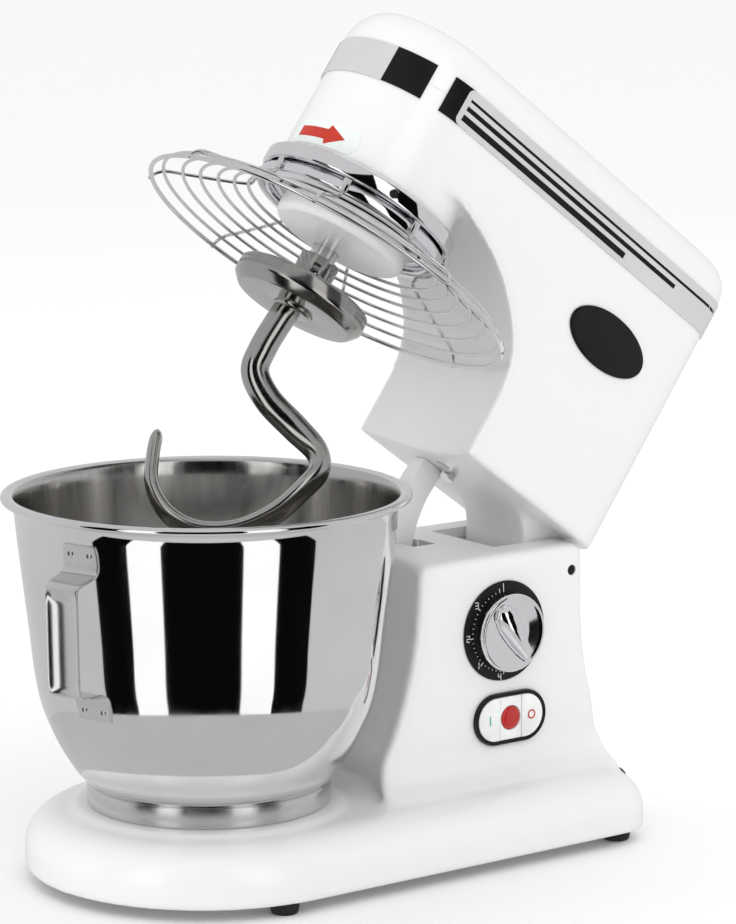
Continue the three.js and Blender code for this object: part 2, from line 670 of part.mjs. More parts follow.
function buildHeadShell() {
  add(closedHead, "head_casting", headCasting(), whiteEnamel);
  add(closedHead, "head_cover", headCover(), whiteEnamel);
  const bandFront = -8;
  const bandRear = 262;
  const tipFront = -20;
  const tipRear = bandFront - GAP;
  const noseEnd = -32.3;
  add(closedHead, "side_band_right", bandStrip(20, bandFront, 80, bandRear), silverFoil);
  add(closedHead, "side_band_left", bandStrip(-80, bandFront, -20, bandRear), silverFoil);
  add(closedHead, "band_tip_right", bandStrip(20, tipFront, 80, tipRear), blackPlastic);
  add(closedHead, "band_tip_left", bandStrip(-80, tipFront, -20, tipRear), blackPlastic);
  add(closedHead, "nose_band", bandStrip(-80, -80, 80, noseEnd), silverFoil);
  add(closedHead, "badge_right", badge(1), blackPlastic);
  add(closedHead, "badge_left", badge(-1), blackPlastic);
}

// Arc plate about the hinge; it slides through the column's slot and the clamp knob holds it.
function lockQuadrant() {
  const low = THREE.MathUtils.degToRad(180 + 40);
  const high = THREE.MathUtils.degToRad(180 - 16);
  const shape = new THREE.Shape();
  shape.absarc(HINGE_Y, HINGE_Z, QUADRANT_OUTER, high, low, false);
  shape.absarc(HINGE_Y, HINGE_Z, QUADRANT_INNER, low, high, true);
  shape.closePath();
  const arc = raisedAcross(shape, QUADRANT_LOW_X, QUADRANT_HIGH_X, 14);
  return arc.intersect(block([-60, 100, 50], [60, 300, NECK_BOTTOM - GAP]));
}

function buildLockQuadrant() {
  add(closedHead, "lock_quadrant", lockQuadrant(), whiteEnamel);
  const boltTop = NECK_BOTTOM - GAP;
  add(closedHead, "quadrant_bolt", disc(5.5, boltTop - 4.5, boltTop, 6, -6, 172), chrome);
}

// Drive train
function buildMotor() {
  const can = [[0, 214], [36, 214], [MOTOR_RADIUS, 220], [MOTOR_RADIUS, 310], [36, MOTOR_TOP], [0, MOTOR_TOP]];
  const motorCase = cut(turned(can, 36, 0, MOTOR_Y), disc(6.5, MOTOR_TOP - 24, MOTOR_TOP + 4, 20, 0, MOTOR_Y));
  add(closedHead, "motor_case", motorCase, castAluminium);
  const bracket = cut(
    block([-52, MOTOR_Y - 46, MOTOR_TOP + GAP], [52, MOTOR_Y + 46, MOTOR_TOP + 5]),
    disc(16, MOTOR_TOP - 4, MOTOR_TOP + 9, 24, 0, MOTOR_Y),
  );
  add(closedHead, "motor_bracket", bracket, zincSteel);
  add(closedHead, "motor_shaft", disc(6, MOTOR_TOP - 22, PULLEY_HIGH + 3, 20, 0, MOTOR_Y), machinedSteel);
  const pulley = tube(MOTOR_PULLEY_RADIUS, 6 + GAP, PULLEY_LOW, PULLEY_HIGH, 28, 0, MOTOR_Y);
  add(closedHead, "motor_pulley", pulley, machinedSteel);
}

// Flat belt loop round the two pulleys: two arcs joined by their common tangents.
function beltLoop(extra) {
  const large = DRIVEN_PULLEY_RADIUS + extra;
  const small = MOTOR_PULLEY_RADIUS + extra;
  const lean = Math.asin((large - small) / MOTOR_Y);
  const shape = new THREE.Shape();
  shape.absarc(0, 0, large, Math.PI - lean, 2 * Math.PI + lean, false);
  shape.absarc(0, MOTOR_Y, small, lean, Math.PI - lean, false);
  shape.closePath();
  return shape;
}

function driveBelt() {
  const low = PULLEY_LOW + 1;
  const high = PULLEY_HIGH - 1;
  return cut(raised(beltLoop(3), low, high, 14), raised(beltLoop(0.6), low - 1, high + 1, 14));
}

function buildDrive() {
  add(closedHead, "drive_belt", driveBelt(), blackRubber);
  const housing = [
    [22.3, 309.9], [40, 309.9], [40, 315], [28, 317], [28, 345], [22.3, 345], [22.3, 309.9],
  ];
  add(closedHead, "bearing_housing", turned(housing, 36), castAluminium);
  add(closedHead, "lower_bearing", tube(22, SHAFT_RADIUS + GAP, 310, 320, 32), machinedSteel);
  add(closedHead, "upper_bearing", tube(22, SHAFT_RADIUS + GAP, 334, 344, 32), machinedSteel);
  add(closedHead, "main_shaft", disc(SHAFT_RADIUS, HUB_BOTTOM + 4, PULLEY_HIGH + 4), machinedSteel);
  const bore = SHAFT_RADIUS + GAP;
  const rimInner = DRIVEN_PULLEY_RADIUS - 6;
  const pulley = [
    [bore, PULLEY_LOW], [18, PULLEY_LOW], [18, 354], [rimInner, 354], [rimInner, PULLEY_LOW],
    [DRIVEN_PULLEY_RADIUS, PULLEY_LOW], [DRIVEN_PULLEY_RADIUS, PULLEY_HIGH], [rimInner, PULLEY_HIGH],
    [rimInner, 360], [18, 360], [18, PULLEY_HIGH], [bore, PULLEY_HIGH], [bore, PULLEY_LOW],
  ];
  add(closedHead, "driven_pulley", turned(pulley), castAluminium);
}

// Involute tooth outline; thinning narrows each tooth, and a negative value widens it.
function gearOutline(teeth, rootRadius, tipRadius, thinning, levels) {
  const pitchRadius = (GEAR_MODULE * teeth) / 2;
  const pressure = THREE.MathUtils.degToRad(20);
  const baseRadius = pitchRadius * Math.cos(pressure);
  const involute = (angle) => Math.tan(angle) - angle;
  const halfAngle = (radius) => {
    const slope = Math.acos(Math.min(1, baseRadius / radius));
    return Math.PI / (2 * teeth) - thinning / (2 * pitchRadius) + involute(pressure) - involute(slope);
  };
  const radii = Array.from({ length: levels }, (_, i) => rootRadius + ((tipRadius - rootRadius) * i) / (levels - 1));
  const points = [];
  for (let tooth = 0; tooth < teeth; tooth += 1) {
    const centre = (tooth / teeth) * 2 * Math.PI + PLANET_DIRECTION;
    const rising = radii.map((radius) => [radius, centre - halfAngle(radius)]);
    const falling = radii.map((radius) => [radius, centre + halfAngle(radius)]).reverse();
    for (const [radius, angle] of [...rising, ...falling]) {
      points.push(new THREE.Vector2(radius * Math.cos(angle), radius * Math.sin(angle)));
    }
  }
  return new THREE.Shape(points);
}

const BACKLASH = 0.3;

function ringGear() {
  const pitchRadius = (GEAR_MODULE * RING_TEETH) / 2;
  const spaces = gearOutline(RING_TEETH, pitchRadius - 0.75 * GEAR_MODULE, pitchRadius + 1.2 * GEAR_MODULE, -BACKLASH, 2);
  return cut(disc(50, GEAR_LOW, GEAR_HIGH + 1, 32), raised(spaces, GEAR_LOW - 2, GEAR_HIGH + 3));
}

function planetGear() {
  const pitchRadius = (GEAR_MODULE * PLANET_TEETH) / 2;
  const teeth = gearOutline(PLANET_TEETH, pitchRadius - 1.2 * GEAR_MODULE, pitchRadius + 0.85 * GEAR_MODULE, BACKLASH, 3);
  const blank = raised(teeth, GEAR_LOW, GEAR_HIGH);
  return cut(blank, disc(AGITATOR_RADIUS - 1 + GAP, GEAR_LOW - 2, GEAR_HIGH + 2, 24)).translate([PLANET_X, PLANET_Y, 0]);
}

function buildPlanetary() {
  add(closedHead, "ring_gear", ringGear(), machinedSteel);
  const hub = cut(
    turned([[0, HUB_BOTTOM], [HUB_RADIUS - 3, HUB_BOTTOM], [HUB_RADIUS, HUB_BOTTOM + 3], [HUB_RADIUS, HUB_TOP], [0, HUB_TOP]]),
    disc(SHAFT_RADIUS + GAP, HUB_BOTTOM + 3, HUB_TOP + 5),
    disc(AGITATOR_RADIUS + GAP, HUB_BOTTOM - 5, HUB_TOP + 5, 24, PLANET_X, PLANET_Y),
  );
  add(closedHead, "planet_carrier", hub, whiteEnamel);
  const pinHole = drivePin(2.7, 20);
  const shaft = join(
    disc(AGITATOR_RADIUS, 243, HUB_TOP + 1.5, 24, PLANET_X, PLANET_Y),
    disc(AGITATOR_RADIUS - 1, HUB_TOP, GEAR_HIGH + 2, 24, PLANET_X, PLANET_Y),
  );
  add(closedHead, "agitator_shaft", cut(shaft, pinHole), chrome);
  add(closedHead, "planet_gear", planetGear(), machinedSteel);
  add(closedHead, "drive_pin", drivePin(2.4, 15.5), chrome);
}

const PIN_DIRECTION = THREE.MathUtils.degToRad(-35);

function drivePin(radius, reach) {
  const geometry = new THREE.CylinderGeometry(radius, radius, 2 * reach, 12);
  geometry.rotateZ(PIN_DIRECTION - Math.PI / 2);
  geometry.translate(PLANET_X, PLANET_Y, DRIVE_PIN_Z);
  return solidOf(geometry);
}

function buildCollar() {
  const collar = [
    [51, NOSE_BOTTOM - GAP], [51, 285.5], [56, 285.5], [56, 292], [66, 292], [COLLAR_RADIUS, 293.5],
    [COLLAR_RADIUS, 301.5], [65.5, NOSE_BOTTOM - GAP], [51, NOSE_BOTTOM - GAP],
  ];
  let ring = turned(collar, 32);
  const screwHeight = 297.5;
  const screwTurns = [-20, 100, 220].map(THREE.MathUtils.degToRad);
  screwTurns.forEach((turn, i) => {
    const screw = (radius, low, high) => {
      const geometry = new THREE.CylinderGeometry(radius, radius, high - low, 12);
      geometry.translate(0, (low + high) / 2, 0);
      geometry.rotateZ(turn - Math.PI / 2);
      geometry.translate(0, 0, screwHeight);
      return solidOf(geometry);
    };
    ring = cut(ring, screw(3.1, COLLAR_RADIUS - 5.6, COLLAR_RADIUS + 8));
    add(closedHead, `collar_screw_${i + 1}`, screw(2.8, COLLAR_RADIUS - 5.2, COLLAR_RADIUS - 0.4), blackPlastic);
  });
  add(closedHead, "head_collar", ring, chrome);
}

// Hook
// A straight rod, a bend outwards and a J-shaped spiral that rises to a tapered tip.
const HOOK_DIRECTION = THREE.MathUtils.degToRad(51.5);

function hookCurve() {
  const reachDropSide = [
    [-3, 6, 0], [-4.5, 24, 0], [-5, 44, 0], [-2, 60, 0], [14, 72, 0], [38, 80, 0], [57, 87, 2], [65, 98, 5],
    [62, 114, 8], [54, 136, 8], [38, 157, 7], [16, 169, 4], [-6, 168.5, 1], [-24, 157, -2], [-33, 140, -4],
    [-39, 122, -6],
  ];
  const points = reachDropSide.map(([reach, drop, side]) => new THREE.Vector3(
    PLANET_X + reach * Math.cos(HOOK_DIRECTION) + side * Math.sin(HOOK_DIRECTION),
    PLANET_Y + reach * Math.sin(HOOK_DIRECTION) - side * Math.cos(HOOK_DIRECTION),
    HOOK_TOP - drop,
  ));
  return new THREE.CatmullRomCurve3(points);
}

function hookSize(t) {
  const flat = THREE.MathUtils.smoothstep(t, 0.3, 0.5);
  const taper = 1 - 0.35 * THREE.MathUtils.smoothstep(t, 0.74, 1);
  return [(HOOK_RADIUS + 1.8 * flat) * taper, (HOOK_RADIUS - 3.2 * flat) * taper];
}

// Sleeve over the agitator shaft, with a pair of bayonet slots for the drive pin.
function hookSleeve() {
  const bore = AGITATOR_RADIUS + GAP;
  let sleeve = turned([
    [0, SHIELD_LOW - 2], [SLEEVE_RADIUS - 1.5, SHIELD_LOW - 2], [SLEEVE_RADIUS, SHIELD_LOW - 0.5],
    [SLEEVE_RADIUS, SLEEVE_TOP], [bore, SLEEVE_TOP], [bore, SLEEVE_FLOOR], [0, SLEEVE_FLOOR],
  ], 32, PLANET_X, PLANET_Y);
  const slotHalf = 2.8;
  const slot = (turn, low, high) => {
    const geometry = new THREE.BoxGeometry(40, 2 * slotHalf, high - low);
    geometry.rotateZ(PIN_DIRECTION + turn);
    geometry.translate(PLANET_X, PLANET_Y, (low + high) / 2);
    return solidOf(geometry);
  };
  const lowEnd = DRIVE_PIN_Z - 9;
  sleeve = cut(sleeve, slot(0, lowEnd, DRIVE_PIN_Z + slotHalf));
  sleeve = cut(sleeve, slot(0.3, lowEnd, lowEnd + 2 * slotHalf));
  return cut(sleeve, slot(0.6, lowEnd, SLEEVE_TOP + 2));
}

function buildHook() {
  const across = new THREE.Vector3(Math.sin(HOOK_DIRECTION), -Math.cos(HOOK_DIRECTION), 0);
  const bar = sweptBar(hookCurve(), 28, 8, across, hookSize);
  add(closedHead, "dough_hook", join(bar, hookSleeve()), polishedSteel);
  const bore = SLEEVE_RADIUS + GAP;
  const shield = turned([
    [bore, SHIELD_LOW], [SHIELD_RADIUS - 5, SHIELD_LOW], [SHIELD_RADIUS, SHIELD_LOW + 5],
    [SHIELD_RADIUS, SHIELD_HIGH - 2], [SHIELD_RADIUS - 2, SHIELD_HIGH], [SHIELD_RADIUS - 4, SHIELD_HIGH],
    [SHIELD_RADIUS - 8, SHIELD_HIGH - 4], [bore, SHIELD_HIGH - 4], [bore, SHIELD_LOW],
  ], 28, PLANET_X, PLANET_Y);
  add(closedHead, "splash_shield", shield, polishedSteel);
}

// Guard
const GUARD_WIRE_RADIUS = 1.4;
const CLIP_TOP = 289.5;
const GUARD_LEVELS = [[68.8, 276], [77, 273.2], [87, 269.8], [98, 266.3], [109, 262.8], [121, 259], [127, 253]];

function wireGuard() {
  const ringSteps = 24;
  const radialCount = 8;
  const sides = 4;
  let guard = null;
  for (const [radius, z] of GUARD_LEVELS) {
    const section = [];
    for (let side = 0; side <= sides; side += 1) {
      const turn = (side / sides) * 2 * Math.PI;
      section.push([radius + GUARD_WIRE_RADIUS * Math.cos(turn), z + GUARD_WIRE_RADIUS * Math.sin(turn)]);
    }
    const ring = turned(section, ringSteps);
    guard = guard ? guard.add(ring) : ring;
  }
  for (let spoke = 0; spoke < radialCount; spoke += 1) {
    const turn = (spoke / radialCount) * 2 * Math.PI;
    const place = ([radius, z]) => new THREE.Vector3(radius * Math.cos(turn), radius * Math.sin(turn), z);
    const path = new THREE.CatmullRomCurve3(GUARD_LEVELS.map(place));
    guard = guard.add(wire(path, GUARD_WIRE_RADIUS, 6, 3));
    const clip = new THREE.LineCurve3(place([GUARD_LEVELS[0][0], CLIP_TOP]), place(GUARD_LEVELS[0]));
    guard = guard.add(wire(clip, GUARD_WIRE_RADIUS, 1, 4));
  }
  return guard;
}

function buildGuard() {
  const ring = [[56.5, 281.5], [65, 281.5], [66.5, 283], [66.5, 288], [64.5, 290.5], [56.5, 290.5], [56.5, 281.5]];
  add(closedHead, "guard_ring", turned(ring, 32), chrome);
  add(closedHead, "wire_guard", wireGuard(), polishedSteel);
}

buildBase();
buildHingePin();
buildSpeedControl();
buildSwitch();
buildElectrics();
buildLockKnob();
buildBowl();
buildHeadShell();
buildLockQuadrant();
buildMotor();
buildDrive();
buildPlanetary();
buildCollar();
buildHook();
buildGuard();

// The origin is the bottom centre of the whole mixer's box.
const group = new THREE.Group();
group.add(mixer);
group.updateMatrixWorld(true);
const extent = new THREE.Box3().setFromObject(group, true);
mixer.position.set(-(extent.min.x + extent.max.x) / 2, -(extent.min.y + extent.max.y) / 2, -extent.min.z);

export default group;
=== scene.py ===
"""Looks of a commercial tilt-head planetary stand mixer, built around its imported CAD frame."""

import json
import math

import bmesh
import bpy
import numpy as np
from mathutils import Matrix, Vector


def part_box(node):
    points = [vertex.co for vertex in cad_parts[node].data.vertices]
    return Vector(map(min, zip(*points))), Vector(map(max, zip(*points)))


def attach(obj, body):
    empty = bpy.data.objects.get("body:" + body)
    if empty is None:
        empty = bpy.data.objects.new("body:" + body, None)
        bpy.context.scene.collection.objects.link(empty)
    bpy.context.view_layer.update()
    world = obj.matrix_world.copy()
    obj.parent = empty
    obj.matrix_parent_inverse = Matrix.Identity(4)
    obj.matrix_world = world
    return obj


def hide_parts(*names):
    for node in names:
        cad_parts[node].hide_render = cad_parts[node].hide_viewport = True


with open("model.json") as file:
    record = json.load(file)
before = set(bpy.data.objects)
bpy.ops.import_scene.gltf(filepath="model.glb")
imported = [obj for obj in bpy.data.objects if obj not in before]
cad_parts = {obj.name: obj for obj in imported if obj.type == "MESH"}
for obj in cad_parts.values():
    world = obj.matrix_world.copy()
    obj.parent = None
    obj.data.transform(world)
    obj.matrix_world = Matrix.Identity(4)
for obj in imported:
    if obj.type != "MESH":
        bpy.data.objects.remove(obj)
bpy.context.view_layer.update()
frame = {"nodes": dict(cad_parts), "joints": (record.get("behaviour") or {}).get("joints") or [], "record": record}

# ---------------- places taken from the frame
MM = 0.001
joints = {joint["name"]: joint for joint in frame["joints"]}
plate_low, plate_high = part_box("bowl_lock_plate")
AXIS_X = (plate_low.x + plate_high.x) / 2
AXIS_Y = (plate_low.y + plate_high.y) / 2
SEAT_Z = plate_low.z / MM
HINGE = Vector(joints["head_tilt"]["pos_m"]) / MM - Vector((AXIS_X, AXIS_Y, 0)) / MM
OPEN = math.radians(-joints["head_tilt"]["range_deg"][0])

# The shop frame has its origin on the bowl axis at floor level and is in millimetres.
BODY = Matrix.Translation((AXIS_X, AXIS_Y, 0)) @ Matrix.Scale(MM, 4)
HEAD = BODY @ Matrix.Translation(HINGE) @ Matrix.Rotation(-OPEN, 4, "X") @ Matrix.Translation(-HINGE)


def shop(point):
    """A row-frame point in the shop frame."""
    return BODY.inverted() @ Vector(point)


def head_place(point):
    """A row-frame point in the closed head's frame."""
    return HEAD.inverted() @ Vector(point)


def middle_of(name):
    """The middle of a node's box, in the row frame."""
    low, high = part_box(name)
    return (low + high) / 2


PLANET = head_place(joints["agitator_spin"]["pos_m"])
BASE_HALF = (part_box("base_casting")[1].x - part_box("base_casting")[0].x) / 2 / MM
BASE_REAR = shop(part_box("base_casting")[1]).y
COLUMN_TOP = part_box("base_casting")[1].z / MM
PLATE_GAP = 0.3
COLUMN_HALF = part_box("dial_plate")[0].x / MM - PLATE_GAP
HEAD_HALF = (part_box("head_casting")[1].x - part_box("head_casting")[0].x) / 2 / MM
RIM_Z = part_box("bowl_shell")[1].z / MM
RIM_RADIUS = 130.0
HEAD_TOP = 413.0
HEAD_REAR = 266.0
HEAD_PARTING = 373.0
NECK_BOTTOM = 195.0
NOSE_BOTTOM = 304.0
BAND_LOW = 361.0
BAND_HIGH = 386.0
SWITCH_WIDTH = 59.0
SWITCH_HEIGHT = 34.5
LAMP_RADIUS = 7.9
PIN_BORE = 6.3
DIAL = shop(middle_of("dial_plate"))
SWITCH = shop(middle_of("switch_bezel"))
# Voxel sizes; the two castings' flat side walls fall midway between the planes of the voxel grid.
BASE_VOXEL = 1.857
HEAD_VOXEL = 1.846
KNOB_VOXEL = 0.55
# The camera looks against this direction.
CAMERA_BACK = (0.7906, -0.5872, 0.1736)
# Radius in metres of the pale disc that is seen only in reflections.
FLOOR_NEAR = 0.315


# ---------------- mesh tools
def link(obj):
    bpy.context.scene.collection.objects.link(obj)
    return obj


def mesh_object(name, verts, faces):
    data = bpy.data.meshes.new(name)
    data.from_pydata([tuple(map(float, v)) for v in verts], [], [tuple(map(int, f)) for f in faces])
    work = bmesh.new()
    work.from_mesh(data)
    bmesh.ops.remove_doubles(work, verts=work.verts, dist=1e-5)
    bmesh.ops.recalc_face_normals(work, faces=work.faces)
    work.to_mesh(data)
    work.free()
    return link(bpy.data.objects.new(name, data))


def frozen(obj):
    """The object with its modifiers applied."""
    bpy.context.view_layer.update()
    graph = bpy.context.evaluated_depsgraph_get()
    made = bpy.data.meshes.new_from_object(obj.evaluated_get(graph))
    obj.modifiers.clear()
    old = obj.data
    obj.data = made
    bpy.data.meshes.remove(old)
    return obj


def boolean(obj, tools, operation="DIFFERENCE"):
    for tool in tools:
        step = obj.modifiers.new("step", "BOOLEAN")
        step.operation = operation
        step.solver = "EXACT"
        step.object = tool
    frozen(obj)
    for tool in tools:
        bpy.data.objects.remove(tool)
    return obj


def remeshed(obj, voxel, smoothing):
    """The object as one smooth cast skin."""
    step = obj.modifiers.new("voxel", "REMESH")
    step.mode = "VOXEL"
    step.voxel_size = voxel * 1
    step.adaptivity = 0
    calm = obj.modifiers.new("calm", "SMOOTH")
    calm.factor = 0.5
    calm.iterations = smoothing
    return frozen(obj)


def shaded(obj, degrees=35):
    data = obj.data
    data.polygons.foreach_set("use_smooth", [True] * len(data.polygons))
    data.set_sharp_from_angle(angle=math.radians(degrees))
    return obj


def rounded(obj, width, segments=2, degrees=30):
    step = obj.modifiers.new("edges", "BEVEL")
    step.width = width
    step.segments = segments
    step.limit_method = "ANGLE"
    step.angle_limit = math.radians(degrees)
    step.harden_normals = False
    return frozen(obj)


def skin(name, rings, closed_rings=False):
    """A solid through rings of equal point count, capped unless the last ring meets the first."""
    count = len(rings[0])
    verts = [point for ring in rings for point in ring]
    faces = []
    last = len(rings) if closed_rings else len(rings) - 1
    for i in range(last):
        a, b = i * count, ((i + 1) % len(rings)) * count
        for j in range(count):
            k = (j + 1) % count
            faces.append((a + j, a + k, b + k, b + j))
    if not closed_rings:
        faces.append(tuple(range(count)))
        faces.append(tuple(range((len(rings) - 1) * count, len(rings) * count)))
    return mesh_object(name, verts, faces)


def lathe(name, profile, segments=128, x=0.0, y=0.0):
    """A solid of revolution about the vertical through (x, y); profile is a loop of (radius, height)."""
    rings = []
    for i in range(segments):
        turn = 2 * math.pi * i / segments
        rings.append([(x + r * math.cos(turn), y + r * math.sin(turn), z) for r, z in profile])
    return clean(skin(name, rings, closed_rings=True))


def clean(obj):
    work = bmesh.new()
    work.from_mesh(obj.data)
    bmesh.ops.dissolve_degenerate(work, dist=1e-5, edges=work.edges)
    bmesh.ops.recalc_face_normals(work, faces=work.faces)
    work.to_mesh(obj.data)
    work.free()
    return obj


def softened(profile, radius=0.8, steps=3):
    """A closed (radius, height) loop with its corners off the axis rounded."""
    out = []
    count = len(profile)
    for i, (r, z) in enumerate(profile):
        here = np.array((r, z), float)
        before = np.array(profile[i - 1], float)
        after = np.array(profile[(i + 1) % count], float)
        if r < 1e-6:
            out.append((r, z))
            continue
        back, ahead = before - here, after - here
        reach = min(radius, np.linalg.norm(back) * 0.45, np.linalg.norm(ahead) * 0.45)
        start = here + back / np.linalg.norm(back) * reach
        end = here + ahead / np.linalg.norm(ahead) * reach
        for step in range(steps + 1):
            t = step / steps
            out.append(tuple((1 - t) ** 2 * start + 2 * t * (1 - t) * here + t * t * end))
    return out


def box(name, low, high):
    corners = [(x, y, z) for x in (low[0], high[0]) for y in (low[1], high[1]) for z in (low[2], high[2])]
    faces = [(0, 1, 3, 2), (4, 6, 7, 5), (0, 4, 5, 1), (2, 3, 7, 6), (0, 2, 6, 4), (1, 5, 7, 3)]
    return mesh_object(name, corners, faces)


def bar_x(name, radius, low, high, y, z, segments=48):
    rings = []
    for x in (low, high):
        rings.append([(x, y + radius * math.cos(2 * math.pi * i / segments),
                       z + radius * math.sin(2 * math.pi * i / segments)) for i in range(segments)])
    return skin(name, rings)


def extruded_x(name, outline, low, high):
    return skin(name, [[(low, y, z) for y, z in outline], [(high, y, z) for y, z in outline]])


def full_turn(count):
    return np.linspace(0, 2 * math.pi, count, False)


def along_x(obj, place, turn=0.0):
    """Lays an upright solid along X at the place, then turns it about the vertical there."""
    lying = Matrix.Rotation(turn, 4, "Z") @ Matrix.Rotation(math.pi / 2, 4, "Y")
    obj.data.transform(Matrix.Translation(place) @ lying)
    return obj


def catmull(points, per):
    """A smooth path through the points."""
    pts = [np.array(p, float) for p in points]
    pts = [2 * pts[0] - pts[1]] + pts + [2 * pts[-1] - pts[-2]]
    out = []
    for i in range(1, len(pts) - 2):
        p0, p1, p2, p3 = pts[i - 1:i + 3]
        for step in range(per):
            t = step / per
            out.append(0.5 * (2 * p1 + (p2 - p0) * t + (2 * p0 - 5 * p1 + 4 * p2 - p3) * t * t
                              + (3 * p1 - p0 - 3 * p2 + p3) * t ** 3))
    out.append(pts[-2])
    return out


def sweep(name, path, size_at, sides=20, first_normal=(0, 0, 1)):
    """A bar of elliptical section along a path; size_at(t) gives its half width and half thickness."""
    path = [np.array(p, float) for p in path]
    count = len(path)
    tangents = []
    for i in range(count):
        step = path[min(i + 1, count - 1)] - path[max(i - 1, 0)]
        tangents.append(step / np.linalg.norm(step))
    normal = np.array(first_normal, float)
    rings = []
    lengths = np.cumsum([0] + [np.linalg.norm(path[i + 1] - path[i]) for i in range(count - 1)])
    for i in range(count):
        tangent = tangents[i]
        normal = normal - tangent * normal.dot(tangent)
        normal /= np.linalg.norm(normal)
        side = np.cross(tangent, normal)
        half_width, half_thick = size_at(lengths[i] / lengths[-1])
        rings.append([path[i] + side * half_width * math.cos(turn) + normal * half_thick * math.sin(turn)
                      for turn in full_turn(sides)])
    return skin(name, rings)


def joined(name, objects):
    """One object made of several, at their places."""
    work = bmesh.new()
    for obj in objects:
        work.from_mesh(obj.data)
    data = bpy.data.meshes.new(name)
    work.to_mesh(data)
    work.free()
    for obj in objects:
        bpy.data.objects.remove(obj)
    return link(bpy.data.objects.new(name, data))


def finished(obj, place, body, slot, replaces=(), look=None):
    """Moves the mesh from the shop or head frame to the row frame and says what it is."""
    obj.data.transform(place)
    obj.data.materials.clear()
    obj.data.materials.append(LOOK[look or slot])
    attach(obj, body)
    if replaces:
        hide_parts(*replaces)
    return obj


# ---------------- materials
def principled(mat):
    return mat.node_tree.nodes["Principled BSDF"]


def new_material(name, color, roughness, metallic=0.0):
    mat = bpy.data.materials.new(name)
    mat.use_nodes = True
    shader = principled(mat)
    shader.inputs["Base Color"].default_value = (*color, 1)
    shader.inputs["Roughness"].default_value = roughness
    shader.inputs["Metallic"].default_value = metallic
    return mat


def node(mat, kind):
    return mat.node_tree.nodes.new(kind)


def wire_up(mat, source, output, target, socket):
    mat.node_tree.links.new(source.outputs[output], target.inputs[socket])


def noise(mat, scale, detail=3.0, stretch=(1, 1, 1)):
    """Object-space noise; stretch lengthens the grain along an axis where it is small."""
    place = node(mat, "ShaderNodeTexCoord")
    mapping = node(mat, "ShaderNodeMapping")
    mapping.inputs["Scale"].default_value = stretch
    wire_up(mat, place, "Object", mapping, "Vector")
    texture = node(mat, "ShaderNodeTexNoise")
    texture.inputs["Scale"].default_value = scale
    texture.inputs["Detail"].default_value = detail
    wire_up(mat, mapping, "Vector", texture, "Vector")
    return texture


def vary_roughness(mat, texture, low, high, span=(0.3, 0.7)):
    spread = node(mat, "ShaderNodeMapRange")
    spread.inputs["From Min"].default_value = span[0]
    spread.inputs["From Max"].default_value = span[1]
    spread.inputs["To Min"].default_value = low
    spread.inputs["To Max"].default_value = high
    wire_up(mat, texture, "Fac", spread, "Value")
    wire_up(mat, spread, "Result", principled(mat), "Roughness")


def vary_color(mat, texture, first, second, span=(0.35, 0.65)):
    ramp = node(mat, "ShaderNodeMix")
    ramp.data_type = "RGBA"
    ramp.inputs["A"].default_value = (*first, 1)
    ramp.inputs["B"].default_value = (*second, 1)
    spread = node(mat, "ShaderNodeMapRange")
    spread.inputs["From Min"].default_value = span[0]
    spread.inputs["From Max"].default_value = span[1]
    wire_up(mat, texture, "Fac", spread, "Value")
    wire_up(mat, spread, "Result", ramp, "Factor")
    wire_up(mat, ramp, "Result", principled(mat), "Base Color")


def bump(mat, texture, strength, distance):
    relief = node(mat, "ShaderNodeBump")
    relief.inputs["Strength"].default_value = strength
    relief.inputs["Distance"].default_value = distance
    wire_up(mat, texture, "Fac", relief, "Height")
    wire_up(mat, relief, "Normal", principled(mat), "Normal")


def enamel():
    mat = new_material("white_enamel", (0.83, 0.83, 0.825), 0.3)
    shader = principled(mat)
    shader.inputs["Coat Weight"].default_value = 0.35
    shader.inputs["Coat Roughness"].default_value = 0.07
    vary_color(mat, noise(mat, 4.0, 1.0), (0.836, 0.836, 0.833), (0.828, 0.829, 0.83), (0.0, 1.0))
    vary_roughness(mat, noise(mat, 35.0, 3.0), 0.285, 0.325, (0.0, 1.0))
    return mat


def steel(name, color, low, high, grain, scale, relief, metallic=1.0):
    mat = new_material(name, color, low, metallic)
    grained = noise(mat, scale, 4.0, grain)
    vary_roughness(mat, grained, low, high)
    bump(mat, grained, relief, 0.0001)
    darker = tuple(c * 0.9 for c in color)
    vary_color(mat, noise(mat, 9.0, 3.0), color, darker)
    return mat


def plastic(name, color, low, high, relief=0.06, scale=900.0, coat=0.0):
    mat = new_material(name, color, low)
    grained = noise(mat, scale, 2.0)
    vary_roughness(mat, noise(mat, 60.0, 4.0), low, high)
    bump(mat, grained, relief, 0.0001)
    second = tuple(min(1, c * 1.12 + 0.002) for c in color)
    vary_color(mat, noise(mat, 40.0, 3.0), color, second)
    shader = principled(mat)
    shader.inputs["Coat Weight"].default_value = coat
    if max(color) < 0.05:
        shader.inputs["Specular IOR Level"].default_value = 0.25
    return mat


